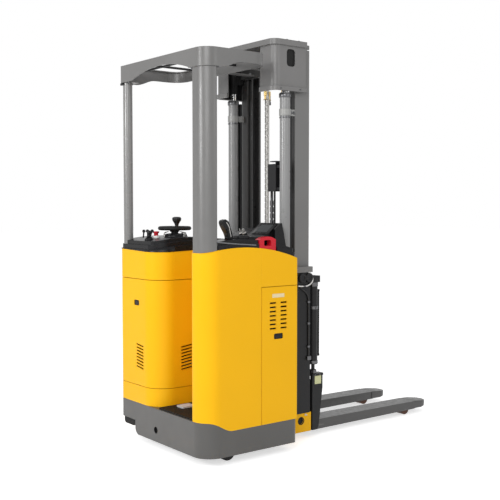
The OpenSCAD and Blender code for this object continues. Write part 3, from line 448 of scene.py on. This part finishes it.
def piece(name, material, body, build, angle=40.0):
    """One closed mesh that rides on a body; build fills a bmesh in millimetres."""
    bm = bmesh.new()
    build(bm)
    bmesh.ops.scale(bm, vec=(MM, MM, MM), verts=bm.verts)
    bmesh.ops.translate(bm, vec=(REAR, 0, 0), verts=bm.verts)
    bmesh.ops.recalc_face_normals(bm, faces=bm.faces)
    for face in bm.faces:
        face.smooth = True
    for edge in bm.edges:
        if len(edge.link_faces) == 2 and edge.calc_face_angle(0) > math.radians(angle):
            edge.smooth = False
    return hand_over(name, as_mesh(name, bm), material, body)


def add_bolt(bm, place, axis, across=19.0, height=7.0):
    """A hexagon head on its washer, pointing along axis."""
    add_lathe(bm, [(0, -0.4), (across * 0.8, -0.4), (across * 0.8, 1.6), (0, 1.6)], place, axis, 24)
    add_lathe(bm, [(0, 1.2), (across * 0.56, 1.2), (across * 0.56, height), (across * 0.48, height + 1.2),
                   (0, height + 1.2)], place, axis, 6)


def add_socket_screw(bm, place, axis, radius=6.5, height=5.0):
    """A round screw head with a socket in it."""
    add_lathe(bm, [(0, -0.4), (radius, -0.4), (radius, height - 1), (radius - 1, height),
                   (radius * 0.5, height), (radius * 0.5, height - 3), (0, height - 3)], place, axis, 20)


# Finishes that only the added pieces use.
LABEL = paint("blank_label", rgb(0.80, 0.66, 0.38), 0.4, 900.0, 0.00002, patch=0.05)
PALE_LABEL = paint("pale_green_label", rgb(0.60, 0.62, 0.34), 0.4, 900.0, 0.00002, patch=0.05)
WHITE = paint("white_ring", rgb(0.80, 0.80, 0.78), 0.35, 900.0, 0.00002, patch=0.03)
# painted highlight: the pale bluish grey of the strip along the console's edge
HIGHLIGHT_STRIP_PAINT = paint("highlight_strip_grey", rgb(0.13, 0.135, 0.145), 0.25, 700.0, 0.00005, patch=0.03)
GLASS = paint("dark_glass", rgb(0.004, 0.008, 0.010), 0.16, 900.0, 0.000002, patch=0.02, shine=0.15)
DARK_STEEL = metal("dark_steel", rgb(0.13, 0.13, 0.135), 0.34)
HOSE = moulding("hose_rubber", rgb(0.016, 0.016, 0.016), 0.42, 500.0, 0.0001)


# Cabinets: lips of the vents and slots, latches, blank labels

VENT_ROWS = 8
VENT_PITCH = 18.8
VENT_HEIGHT = 8.0
VENT_TOP = 601.0
VENT_DROP = 10.0  # how far a vent falls towards the corner of the bay
VENT_REAR = (185.0, 264.0)  # y of its ends on the rear face
VENT_BAY = (171.0, 246.0)  # x of its ends on the side of the bay
VENT_LIP = 3.2

SLOT_COLUMNS = ((441, 46), (519, 46))  # where each column starts, and how long its slots are
SLOT_ROWS = 7
SLOT_PITCH = 24.0
SLOT_HEIGHT = 9.0
SLOT_TOP = 874.0
SLOT_LIP = 3.4


def vent_lips(bm):
    low = -VENT_HEIGHT
    for row in range(VENT_ROWS):
        top = VENT_TOP - row * VENT_PITCH
        for (near, far), start, along in ((VENT_REAR, (-1.3, 0, top), (0, 1, 0)),
                                          (VENT_BAY, (0, 40.3, top), (1, 0, 0))):
            lip = [(near, low - VENT_DROP - VENT_LIP), (far, low - VENT_LIP), (far, low),
                   (near, low - VENT_DROP)]
            add_prism(bm, lip, start, along, (0, 0, 1), 1.6)


def slot_lips(bm):
    for start, length in SLOT_COLUMNS:
        for row in range(SLOT_ROWS):
            low = SLOT_TOP - row * SLOT_PITCH - SLOT_HEIGHT
            add_block(bm, (start - 1, -451.4, low - SLOT_LIP), (start + length + 1, -449.7, low), 0.6)


def latch_rear(bm):
    add_block(bm, (3.2, 226, 824), (15, 294, 860), 2)
    add_block(bm, (0.6, 235, 831), (4.5, 262, 853), 1.5)


def latch_side(bm):
    add_block(bm, (466, -446.5, 661), (542, -436, 699), 2)
    add_block(bm, (474, -449.2, 669), (505, -445.5, 691), 1.5)


def side_label(bm):
    add_prism(bm, rounded_rect(88, 22, 3), (502, -449.9, 910), (1, 0, 0), (0, 0, 1), 0.7)


def shank_label(bm):
    add_prism(bm, rounded_rect(52, 52, 2), (953, -285.9, 351), (1, 0, 0), (0, 0, 1), 0.7)


piece("vent_lips", YELLOW, "root", vent_lips)
piece("side_slot_lips", YELLOW, "root", slot_lips)
piece("rear_latch", PLASTIC, "root", latch_rear)
piece("side_latch", PLASTIC, "root", latch_side)
piece("side_label", LABEL, "root", side_label)
piece("shank_label", PALE_LABEL, "carriage", shank_label)


# The moulding that laps over the left cabinet below the console, and the ribs of the floor mat

CABINET_MIDDLE = at(192, 245, 0)
LAP_SCALE = 1.013  # sets the moulding 2.5 mm proud of the cabinet
LAP_LIFT = 0.8 * MM
SKIRT_CUTS = [(at(0, 0, 1141.4), (0.0383, 0.0339, -1.0)),  # its lower edge, lowest at the corner of the bay
              (at(0, 436, 0), (0, 1, 0))]


def lap_over(co):
    return Vector((CABINET_MIDDLE.x + (co.x - CABINET_MIDDLE.x) * LAP_SCALE,
                   CABINET_MIDDLE.y + (co.y - CABINET_MIDDLE.y) * LAP_SCALE, co.z + LAP_LIFT))


def mat_ribs(bm):
    rib, pitch = 5, 18.5
    for i in range(19):
        start = 26 + pitch * i
        add_block(bm, (start, -296, 252.5), (start + rib, 22, 254.6), 0.8, 1)


cut_copy("console_skirt", "left_cabinet", SKIRT_CUTS, PLASTIC, "root", lap_over)
piece("mat_ribs", SOFT, "root", mat_ribs)


# Controls on the left of the console

DECK = 1187  # top of the console's sunken deck
WHEEL = (231, 200)  # axis of the steering wheel
WHEEL_TOP = 1280
GAUGE_TILT = math.radians(28)
GAUGE_AXIS = Vector((-math.sin(GAUGE_TILT), 0, math.cos(GAUGE_TILT)))
GAUGE_TOP = Vector((312, 205, DECK)) + GAUGE_AXIS * 58
# path of the painted highlight strip on the console's right side
HIGHLIGHT_STRIP_LINE = ((83.8, 1219.8), (143.1, 1213.5), (210.0, 1207.4), (278.2, 1202.4), (347.6, 1197.2))


def round_wheel(reach, degrees, z):
    """A point at some reach from the wheel's axis."""
    turn = math.radians(degrees)
    return (WHEEL[0] + reach * math.cos(turn), WHEEL[1] + reach * math.sin(turn), z)


def hub_cap(bm):
    """Cap of the hub, and two screws on each spoke."""
    add_lathe(bm, [(0, 5.6), (22, 5.6), (21, 9), (15, 11.5), (0, 12.5)], (*WHEEL, WHEEL_TOP))
    for spoke in (90, 210, 330):
        for reach in (44, 60):
            add_socket_screw(bm, round_wheel(reach, spoke, WHEEL_TOP + 1), (0, 0, 1), 4, 2)


def knob_collar(bm):
    add_lathe(bm, [(7.6, 39), (10.5, 39), (10.5, 43), (7.6, 43)], round_wheel(88, -115, WHEEL_TOP))


def knob_grip(bm):
    """The ball grip over the knob: a rounded crown that narrows to its stem."""
    add_lathe(bm, [(0, 1298), (11, 1298), (12.5, 1306), (19, 1318), (26.6, 1330), (27.4, 1338), (25, 1345),
                   (18, 1349), (0, 1350)], (194, 120, 0), sides=40)


def short_levers(bm):
    for x, y, lean in ((70, 246, 15.0), (96, 262, -12.0), (40, 246, 6.0)):
        add_tube(bm, [(x, y, 1226), (x + 4, y + lean * 0.4, 1244), (x + 8, y + lean, 1262)], 4.5, 12)
        add_lathe(bm, [(0, -9), (7, -8), (10, -2), (9, 5), (5, 9), (0, 10)], (x + 8, y + lean, 1264),
                  sides=20)


def stop_ring(bm):
    add_lathe(bm, [(13.2, 36), (24, 36), (24, 46), (21, 49), (13.2, 49)], (130, 248, DECK))


def stick_bellows(bm):
    for i in range(5):
        radius, height = 25 - 3.2 * i, 30 + 3.6 * i
        add_lathe(bm, [(radius - 5, height), (radius + 1.5, height + 1.8), (radius - 5, height + 3.6)],
                  (56, 206, DECK), sides=28)


def gauge_bezel(bm):
    add_lathe(bm, [(22, -0.3), (29.6, -0.3), (29.6, 3), (27.5, 5), (24, 4.4), (22, 1.2)], GAUGE_TOP,
              GAUGE_AXIS, 40)


def gauge_face(bm):
    add_lathe(bm, [(0, -0.3), (22.2, -0.3), (22.2, 0.8), (0, 0.8)], GAUGE_TOP, GAUGE_AXIS, 32)


def gauge_marks(bm):
    """Eleven marks, every fifth one longer, and the pointer."""
    turn = turn_to(GAUGE_AXIS)
    for i in range(11):
        angle = math.radians(-30 + 24 * i)
        way = turn @ Vector((math.cos(angle), math.sin(angle), 0))
        side = turn @ Vector((-math.sin(angle), math.cos(angle), 0))
        length = 6 if i % 5 == 0 else 3.5
        add_prism(bm, [(20 - length, -0.7), (20, -0.7), (20, 0.7), (20 - length, 0.7)],
                  GAUGE_TOP + GAUGE_AXIS * 0.7, way, side, 0.5)
    way, side = turn @ Vector((0.5, 0.866, 0)), turn @ Vector((-0.866, 0.5, 0))
    add_prism(bm, [(-5, -1.2), (16, -0.4), (16, 0.4), (-5, 1.2)], GAUGE_TOP + GAUGE_AXIS * 1.2, way, side,
              0.6)


def console_highlight_strip(bm):
    """Pale bluish grey strip along the top of the console's right side, a painted highlight where its edge
    catches the light.
    """
    add_tube(bm, smooth_path([(x, -442.5, z) for x, z in HIGHLIGHT_STRIP_LINE], 6), 3.6, 12)


piece("console_highlight_strip", HIGHLIGHT_STRIP_PAINT, "root", console_highlight_strip)
piece("hub_cap", PLASTIC, "steering", hub_cap)
piece("knob_collar", STEEL, "steering", knob_collar)
piece("knob_grip", PLASTIC, "steering", knob_grip)
piece("short_levers", SOFT, "root", short_levers)
piece("stop_ring", WHITE, "root", stop_ring)
piece("stick_bellows", SOFT, "root", stick_bellows)
piece("gauge_bezel", STEEL, "root", gauge_bezel)
piece("gauge_face", GLASS, "root", gauge_face)
piece("gauge_marks", WHITE, "root", gauge_marks)


# Controls on the right of the console, and the painted highlights on the steering pod

HANDLE = (214, -372)  # foot of the control handle
HANDLE_HIGHLIGHT_PATH = ((182.9, 1324.4), (198.3, 1304.1), (206.4, 1276.7), (214.5, 1243.8))
POD_HIGHLIGHT_PATH = ((66, 1222), (66, 1240), (65, 1249), (58, 1256), (40, 1260))
SCREEN_SLOPE = math.atan2(67, 86)  # rise of the shroud's upper face over its run
SCREEN_ALONG = Vector((math.cos(SCREEN_SLOPE), 0, math.sin(SCREEN_SLOPE)))
SCREEN_OUT = Vector((-math.sin(SCREEN_SLOPE), 0, math.cos(SCREEN_SLOPE)))
SCREEN_MIDDLE = Vector((497, -332, 1282.5))
KEY_TILT = math.radians(27)
KEY_AXIS = Vector((-math.sin(KEY_TILT), 0, math.cos(KEY_TILT)))
KEY_SIDE = -224
SECOND_KEY_SIDE = -192


def key_top(y):
    return Vector((442, y, 1243)) + KEY_AXIS * 16


def grip_details(bm):
    """The handle's rubber boot, its rocker and push buttons, and the small lever beside it."""
    for i in range(4):
        radius, height = 32 - 3.4 * i, 40 + 3.4 * i
        add_lathe(bm, [(radius - 6, height - 3), (radius + 1, height - 1), (radius - 6, height + 1)],
                  (*HANDLE, DECK), sides=32)
    add_block(bm, (160, -382, 1312), (168, -362, 1328), 2)
    for y in (-386, -372, -358):
        add_lathe(bm, [(0, 0), (4.6, 0), (4.2, 3), (0, 3.4)], (181, y, 1336.5), (-0.35, 0, 0.94), 16)
    add_tube(bm, smooth_path([(196, -395, 1232), (192, -396, 1262), (190, -395, 1272)]), 7, 14)
    add_lathe(bm, [(0, -8), (6, -8), (9.5, -3), (10, 3), (7, 8), (0, 9)], (190, -395, 1278), sides=20)


def grip_highlight_strips(bm):
    """Bright steel strips along the sides of the control handle, painted highlights where its edges catch
    the light.
    """
    for y in (-391.5, -352.5):
        add_tube(bm, smooth_path([(x, y, z) for x, z in HANDLE_HIGHLIGHT_PATH], 6), 2.6, 10)


def pod_highlight_ribs(bm):
    """Bright steel ribs on the steering pod under the wheel, painted highlights standing in for light on its
    rounded sides.
    """
    for degrees in (158, 172, 292, 306):
        add_tube(bm, smooth_path([round_wheel(reach, degrees, z) for reach, z in POD_HIGHLIGHT_PATH], 5), 2.6, 10)


def hand_rest(bm):
    """Low rounded hand rest in front of the control handle."""
    add_block(bm, (262, -400, 1222), (338, -344, 1252), 12, 4)


def display_frame(bm):
    add_prism(bm, rounded_rect(96, 150, 8), SCREEN_MIDDLE, SCREEN_ALONG, (0, 1, 0), 4.0, 1.2)


def display_screen(bm):
    add_prism(bm, rounded_rect(66, 106, 4), SCREEN_MIDDLE + SCREEN_OUT * 3.6, SCREEN_ALONG, (0, 1, 0), 1.0)


def display_buttons(bm):
    row = SCREEN_MIDDLE + SCREEN_OUT * 3.8 - SCREEN_ALONG * 40
    for i in range(4):
        add_lathe(bm, [(0, -0.2), (6, -0.2), (5.4, 1.8), (0, 2.0)], row + Vector((0, -42 + 28 * i, 0)),
                  SCREEN_OUT, 20)


def key_bezels(bm):
    for y in (KEY_SIDE, SECOND_KEY_SIDE):
        add_lathe(bm, [(6, -0.3), (12, -0.3), (12, 2), (10, 3.6), (6, 3.6)], key_top(y), KEY_AXIS, 28)


def key_bows(bm):
    """A key in each lock, one of them turned."""
    for y, turn in ((KEY_SIDE, 0.0), (SECOND_KEY_SIDE, 0.9)):
        flat = Vector((math.cos(turn), math.sin(turn), 0))
        flat = (flat - KEY_AXIS * flat.dot(KEY_AXIS)).normalized()
        add_prism(bm, [(-2.5, -4), (2.5, -4), (2.5, 10), (9, 14), (9, 24), (4, 29), (-4, 29), (-9, 24),
                       (-9, 14), (-2.5, 10)], key_top(y) - KEY_AXIS.cross(flat) * 1.1, flat, KEY_AXIS, -2.2)


# The display's shroud, with its front end raked back towards its top.
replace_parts(cut_copy("shroud_shell", "display_shroud", [(at(566, 0, 1240), (1.0, 0.0, 0.22))],
                     PLASTIC, "root"), "display_shroud")
piece("grip_details", SOFT, "root", grip_details)
piece("grip_highlight_strips", STEEL, "root", grip_highlight_strips)
piece("pod_highlight_ribs", STEEL, "root", pod_highlight_ribs)
piece("hand_rest", PLASTIC, "root", hand_rest)
piece("display_frame", PLASTIC, "root", display_frame)
piece("display_screen", GLASS, "root", display_screen)
piece("display_buttons", SOFT, "root", display_buttons)
piece("key_bezels", STEEL, "root", key_bezels)
piece("key_bows", STEEL, "root", key_bows)


# Mast: bolts of the clamps, collars of the glands, bosses, pipes beside the right rail

LIFT_X, LIFT_Y = 712, 255  # axis of each lift cylinder
SILVER_PIPE = [(782, -272, 936), (782, -296, 936), (790, -301, 935), (838, -301, 933), (866, -301, 940),
               (886, -301, 954), (894, -301, 974), (886, -300, 994), (872, -298, 1006), (864, -297, 1018)]
THIN_PIPE = [(798, -295, 925), (812, -299, 914), (838, -299, 896), (856, -299, 872), (862, -299, 840),
             (862, -299, 800), (863, -299, 600), (863, -299, 505)]


def mast_bolts(bm):
    for side in BOTH:
        for x in (752, 774):
            add_bolt(bm, (x, side * 260, 1964), (0, side, 0), 12, 6)


def gland_collars(bm):
    for side in BOTH:
        add_lathe(bm, [(31.2, 0), (35, 0), (36, 2), (36, 22), (34, 25), (31.2, 25)],
                  (LIFT_X, side * LIFT_Y, 2050), sides=40)
        add_lathe(bm, [(31.2, 0), (34, 0), (34, 8), (31.2, 8)], (LIFT_X, side * LIFT_Y, 1930), sides=40)


def rail_bosses(bm):
    for side in BOTH:
        for x in (815, 868):
            add_lathe(bm, [(0, -0.3), (29, -0.3), (29, 9), (25, 13), (14, 13), (12, 9), (0, 9)],
                      (x, side * 294, 982), (0, side, 0), 32)


def silver_pipe(bm):
    add_tube(bm, smooth_path(SILVER_PIPE, 6), 5.2, 14)


def thin_pipe(bm):
    add_tube(bm, smooth_path(THIN_PIPE, 6), 4.4, 12)


def pipe_fittings(bm):
    """The block at the foot of the thin pipe, its three clips, and a union on the silver pipe."""
    add_block(bm, (850, -306, 484), (880, -293.7, 508), 2)
    for z in (560, 700, 830):
        add_block(bm, (853, -304.5, z), (872, -293.7, z + 12), 1.5)
    add_lathe(bm, [(5, 0), (8.5, 0), (8.5, 14), (5, 14)], (820, -301, 933.6), (1, 0, 0), 6)


piece("mast_bolts", DARK_STEEL, "root", mast_bolts)
piece("gland_collars", DARK_STEEL, "root", gland_collars)
piece("rail_bosses", BLACK, "root", rail_bosses)
piece("silver_pipe", STEEL, "root", silver_pipe)
piece("thin_pipe", HOSE, "root", thin_pipe)
piece("pipe_fittings", DARK_STEEL, "root", pipe_fittings)


# Low on the chassis: the tow-pin hole, pivot pins and grease nipples of the leg roots

def tow_socket(bm):
    """Blackened bush and end of the tow-pin hole."""
    add_lathe(bm, [(17.5, 0.4), (19.8, 0.4), (19.8, 14), (17.5, 14)], (0, 51, 120), (1, 0, 0), 40)
    add_lathe(bm, [(0, 13), (26, 13), (26, 16), (0, 16)], (0, 51, 120), (1, 0, 0), 32)


def root_pins(bm):
    for side in BOTH:
        add_lathe(bm, [(0, -0.5), (18.4, -0.5), (18.4, 7), (16.5, 9), (7, 9), (6, 6.5), (0, 6.5)],
                  (813, side * 280, 117), (0, side, 0), 36)
        add_lathe(bm, [(19.2, 0), (24, 0), (24, 2.5), (19.2, 2.5)], (813, side * 290, 117), (0, side, 0), 40)


def root_nipples(bm):
    for side in BOTH:
        add_lathe(bm, [(0, -0.5), (6.5, -0.5), (6.5, 4), (4, 5), (3, 10), (4.2, 12), (2, 15), (0, 15)],
                  (848, side * 290, 150), (0, side, 0), 16)


piece("tow_socket", SOFT, "root", tow_socket)
piece("root_pins", SOFT, "root", root_pins)
piece("root_nipples", WHITE, "root", root_nipples)


# Carriage: the forks and their noses, caps, nuts and ports of the shank cylinders, bolts

FORK_Y = 193  # middle of each fork
FORK_HALF = 66.8
FORK_CUT = 1880  # the copy of the CAD's forks ends here, inside the noses
NOSE_START = 1848
NOSE_MIDDLE = 1938
NOSE_REACH = 64
SHANK_X, SHANK_Y = 933, 262  # axis of each shank cylinder


def fork_noses(bm):
    """Blunt rounded noses at the tips of the forks. Their tops fall and their undersides rise."""
    outline = [(NOSE_START, -FORK_HALF), (NOSE_START, FORK_HALF)]
    for i in range(19):
        turn = math.radians(90 - 10 * i)
        outline.append((NOSE_MIDDLE + NOSE_REACH * math.cos(turn), FORK_HALF * math.sin(turn)))
    for side in BOTH:
        first = len(bm.verts)
        add_prism(bm, [(x, y + side * FORK_Y) for x, y in outline], (0, 0, 37), (1, 0, 0), (0, 1, 0),
                  51.4, 8)
        bm.verts.ensure_lookup_table()
        for vert in bm.verts[first:]:
            slope = max(0.0, vert.co.x - 1862) / 140
            vert.co.z += -11 * slope if vert.co.z > 60 else 8 * slope ** 3


def cylinder_caps(bm):
    """Rounded caps over the tops of the shank cylinders."""
    for side in BOTH:
        add_lathe(bm, [(0, 930), (29, 930), (29.5, 952), (28, 968), (23, 981), (14, 990), (0, 993)],
                  (SHANK_X, side * SHANK_Y, 0), sides=40)


def cylinder_nuts(bm):
    """A nut at the foot of each shank cylinder, three bands and a port."""
    for side in BOTH:
        place = (SHANK_X, side * SHANK_Y, 0)
        add_lathe(bm, [(0, 391), (23, 391), (23, 412), (20, 414), (0, 414)], place, sides=6)
        for radius, low, high in ((29.5, 786, 804), (30, 452, 470), (30, 925, 949)):
            add_lathe(bm, [(27.1, low), (radius, low), (radius, high), (27.1, high)], place, sides=36)
        add_side_block(bm, side, (926, 289, 789), (940, 295, 801), 1)


def carriage_bolts(bm):
    for side in BOTH:
        for z in (130, 190, 250, 310):
            add_bolt(bm, (932, side * 215, z), (1, 0, 0), 19, 9)
        for y in (40, 120):
            add_bolt(bm, (932, side * y, 902), (1, 0, 0), 17, 8)
        for x in (926, 966):
            add_socket_screw(bm, (x, side * 288, 383), (0, side, 0), 5, 4)


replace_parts(cut_copy("fork_blades", "forks", [(at(FORK_CUT, 0, 0), (1, 0, 0))], FORK, "carriage"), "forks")
piece("fork_noses", FORK, "carriage", fork_noses)
piece("cylinder_caps", BLACK, "carriage", cylinder_caps)
piece("cylinder_nuts", DARK_STEEL, "carriage", cylinder_nuts)
piece("carriage_bolts", DARK_STEEL, "carriage", carriage_bolts)


# Guard: foot pad and fixings

def guard_foot(bm):
    add_block(bm, (2, 404, 2136), (26, 442, 2149.7), 3)


def guard_bolts(bm):
    for x, y in ((22, 372), (74, 426), (22, -306), (100, -430)):
        add_bolt(bm, (x, y, 2150), (0, 0, -1), 13, 6)
    for side in BOTH:
        for x in (452, 745):
            add_bolt(bm, (x, side * 120, 2230), (0, 0, 1), 15, 7)


piece("guard_foot", PLASTIC, "root", guard_foot)
piece("guard_bolts", DARK_STEEL, "root", guard_bolts)


# Mast head: dark sheets of painted shade inside it, its screws, chain anchors with brass nuts

CHAIN_Y = 85  # middle of each lift chain
HEAD_FLOOR, HEAD_ROOF = 2094, 2345


def head_shade_sheets(bm):
    """Dark sheets put inside each head box as painted shade: on its walls, as a sleeve round the rod's end,
    and as caps over the rails.
    """
    for side in BOTH:
        add_side_block(bm, side, (607, 166, HEAD_FLOOR), (612, 240, HEAD_ROOF))
        add_side_block(bm, side, (655, 281, HEAD_FLOOR), (836, 285.5, HEAD_ROOF))
        add_side_block(bm, side, (655, 166, 2338), (836, 280, 2346))
        add_lathe(bm, [(17, 2120), (26, 2120), (26, 2337), (17, 2337)], (LIFT_X, side * LIFT_Y, 0), sides=28)
        add_side_block(bm, side, (725, 236, 2180), (836, 240, 2337))


def head_screws(bm):
    for side in BOTH:
        for x, y in ((622, 150), (622, 60), (700, 286), (790, 286), (820, 150)):
            add_socket_screw(bm, (x, side * y, 2380), (0, 0, 1), 7, 5)
        for x in (640, 790):
            add_socket_screw(bm, (x, side * 302, 2097), (0, side, 0), 5, 3.5)


def anchor_brass(bm):
    """Anchor nuts and split pins where the lift chains leave the head."""
    for side in BOTH:
        for x in (836, 866):
            y = side * CHAIN_Y
            add_lathe(bm, [(0, 2085), (8, 2085), (8, 2104), (11, 2106), (11, 2132), (0, 2132)], (x, y, 0),
                      sides=6)
            for turn in (0.5, 2.4):
                leg = Vector((math.cos(turn), math.sin(turn), 0)) * 13
                foot = Vector((x, y, 2078))
                add_tube(bm, [foot - leg, Vector((x, y, 2084)), foot + leg], 2.4, 8)


def anchor_bolts(bm):
    for side in BOTH:
        add_lathe(bm, [(0, 2048), (7, 2048), (7, 2066), (5, 2068), (5, 2122), (0, 2122)],
                  (872, side * CHAIN_Y, 0), sides=16)


piece("head_shade_sheets", SOFT, "inner_mast", head_shade_sheets)
piece("head_screws", DARK_STEEL, "inner_mast", head_screws)
piece("anchor_brass", BRASS, "inner_mast", anchor_brass)
piece("anchor_bolts", SOFT, "inner_mast", anchor_bolts)


# Leaf chains, laid out by geometry nodes: wide and narrow plate packs take turns up the chain, on pins

CHAIN_PITCH = 19.05 * MM
PLATE_LENGTH = CHAIN_PITCH * 1.62


def chain_rule(name, width, depth):
    """The node group that fills a length along z with plates and pins."""
    tree = bpy.data.node_groups.new(name, "GeometryNodeTree")
    for label, kind, way in (("Length", "NodeSocketFloat", "INPUT"), ("Pitch", "NodeSocketFloat", "INPUT"),
                             ("Material", "NodeSocketMaterial", "INPUT"),
                             ("Geometry", "NodeSocketGeometry", "OUTPUT")):
        tree.interface.new_socket(label, in_out=way, socket_type=kind)
    nodes, links = tree.nodes, tree.links
    source, sink = nodes.new("NodeGroupInput"), nodes.new("NodeGroupOutput")
    length, pitch = source.outputs["Length"], source.outputs["Pitch"]

    def maths(operation, first, second=0.0):
        node = nodes.new("ShaderNodeMath")
        node.operation = operation
        for socket, value in zip(node.inputs, (first, second)):
            if isinstance(value, (int, float)):
                socket.default_value = value
            else:
                links.new(value, socket)
        return node.outputs[0]

    def plate(size):
        shape = nodes.new("GeometryNodeMeshCube")
        shape.inputs["Size"].default_value = size
        return shape.outputs["Mesh"]

    def pin(radius, reach):
        shape = nodes.new("GeometryNodeMeshCylinder")
        shape.inputs["Vertices"].default_value = 12
        shape.inputs["Radius"].default_value = radius
        shape.inputs["Depth"].default_value = reach
        turn = nodes.new("GeometryNodeTransform")
        turn.inputs["Rotation"].default_value = (math.pi / 2, 0, 0)
        links.new(shape.outputs["Mesh"], turn.inputs["Geometry"])
        return turn.outputs["Geometry"]

    def column(unit, first, every):
        """Repeats a unit from the first pitch on, every one or two pitches."""
        pairs = maths("FLOOR", maths("DIVIDE", length, maths("MULTIPLY", pitch, 2.0)))
        line = nodes.new("GeometryNodeMeshLine")
        links.new(maths("MULTIPLY", pairs, 2.0 / every), line.inputs["Count"])
        for socket, pitches in (("Start Location", first), ("Offset", every)):
            along = nodes.new("ShaderNodeCombineXYZ")
            links.new(maths("MULTIPLY", pitch, pitches), along.inputs["Z"])
            links.new(along.outputs[0], line.inputs[socket])
        repeat = nodes.new("GeometryNodeInstanceOnPoints")
        links.new(line.outputs["Mesh"], repeat.inputs["Points"])
        links.new(unit, repeat.inputs["Instance"])
        real = nodes.new("GeometryNodeRealizeInstances")
        links.new(repeat.outputs["Instances"], real.inputs["Geometry"])
        return real.outputs["Geometry"]

    join = nodes.new("GeometryNodeJoinGeometry")
    for part in (column(plate((depth * MM, width * MM, PLATE_LENGTH)), 0.5, 2.0),
                 column(plate((depth * 0.82 * MM, width * 0.62 * MM, PLATE_LENGTH)), 1.5, 2.0),
                 column(pin(depth * 0.26 * MM, (width + 4) * MM), 0.0, 1.0)):
        links.new(part, join.inputs["Geometry"])
    finish = nodes.new("GeometryNodeSetMaterial")
    links.new(join.outputs["Geometry"], finish.inputs["Geometry"])
    links.new(source.outputs["Material"], finish.inputs["Material"])
    links.new(finish.outputs["Geometry"], sink.inputs["Geometry"])
    return tree


def leaf_chain(name, material, body, x, y, low, high, width, depth):
    tree = chain_rule(name, width, depth)
    holder = put(name + "_rule", bpy.data.meshes.new(name + "_rule"))
    modifier = holder.modifiers.new("chain", "NODES")
    modifier.node_group = tree
    ids = {item.name: item.identifier for item in tree.interface.items_tree if item.in_out == "INPUT"}
    modifier[ids["Length"]] = (high - low) * MM
    modifier[ids["Pitch"]] = CHAIN_PITCH
    modifier[ids["Material"]] = material
    bpy.context.view_layer.update()
    ready = holder.evaluated_get(bpy.context.evaluated_depsgraph_get())
    mesh = bpy.data.meshes.new_from_object(ready)
    bpy.data.objects.remove(holder)
    mesh.transform(Matrix.Translation(at(x, y, low)))
    mesh.name = name
    hand_over(name, mesh, material, body)


for side_name, side in (("right", -1), ("left", 1)):
    leaf_chain("leaf_chain_" + side_name, STEEL, "inner_mast", 844, side * CHAIN_Y, 912, 2255, 15, 12.5)
leaf_chain("hanging_chain", DARK_STEEL, "root", LIFT_X, -132, 506, 1496, 20, 13)


# Studio

def seen_directly(tree, unseen, seen):
    """One strength for what the camera, gloss or glass shows, another for the light it gives."""
    path = tree.nodes.new("ShaderNodeLightPath")
    total = path.outputs["Is Camera Ray"]
    for name in ("Is Glossy Ray", "Is Transmission Ray"):
        add = tree.nodes.new("ShaderNodeMath")
        add.operation = "MAXIMUM"
        tree.links.new(total, add.inputs[0])
        tree.links.new(path.outputs[name], add.inputs[1])
        total = add.outputs[0]
    level = tree.nodes.new("ShaderNodeMapRange")
    level.inputs["To Min"].default_value = unseen
    level.inputs["To Max"].default_value = seen
    tree.links.new(total, level.inputs["Value"])
    return level.outputs["Result"]


def stage_floor():
    """A wide pale floor that the camera sees brighter than it lights the truck."""
    mesh = bpy.data.meshes.new("floor")
    reach = 40.0
    mesh.from_pydata([(-reach, -reach, 0), (reach, -reach, 0), (reach, reach, 0), (-reach, reach, 0)],
                     [], [(0, 1, 2, 3)])
    floor = put("floor", mesh)
    s = Shader("floor")
    s.set(Base_Color=rgb(0.85, 0.85, 0.85), Roughness=1.0, Emission_Color=rgb(1, 1, 1),
          Specular_IOR_Level=0.0)
    s.tree.links.new(seen_directly(s.tree, 0.0, 0.62), s.bsdf.inputs["Emission Strength"])
    dress(floor, s.material)


def area_light(name, place, target, size, power):
    data = bpy.data.lights.new(name, "AREA")
    data.shape = "DISK"
    data.size = size
    data.energy = power
    light = put(name, data)
    light.location = place
    light.rotation_euler = (Vector(target) - Vector(place)).to_track_quat("-Z", "Y").to_euler()


def studio_world():
    """White behind the truck for the camera, and a softer white that lights it."""
    world = bpy.data.worlds.new("studio")
    world.use_nodes = True
    tree = world.node_tree
    back = tree.nodes["Background"]
    back.inputs["Color"].default_value = rgb(1, 1, 1)
    tree.links.new(seen_directly(tree, 0.50, 1.0), back.inputs["Strength"])
    bpy.context.scene.world = world


stage_floor()
area_light("key", (-4.4, -3.6, 3.4), (0, 0, 1.0), 3.0, 125)
area_light("left", (-5.0, 0.3, 2.3), (0, 0, 1.1), 0.9, 75)
area_light("fill", (1.5, -6.0, 3.0), (0, 0, 1.0), 3.0, 45)
area_light("top", (0.2, 0.4, 6.0), (0, 0, 0), 4.0, 40)
studio_world()
bpy.context.scene.view_settings.view_transform = "Standard"
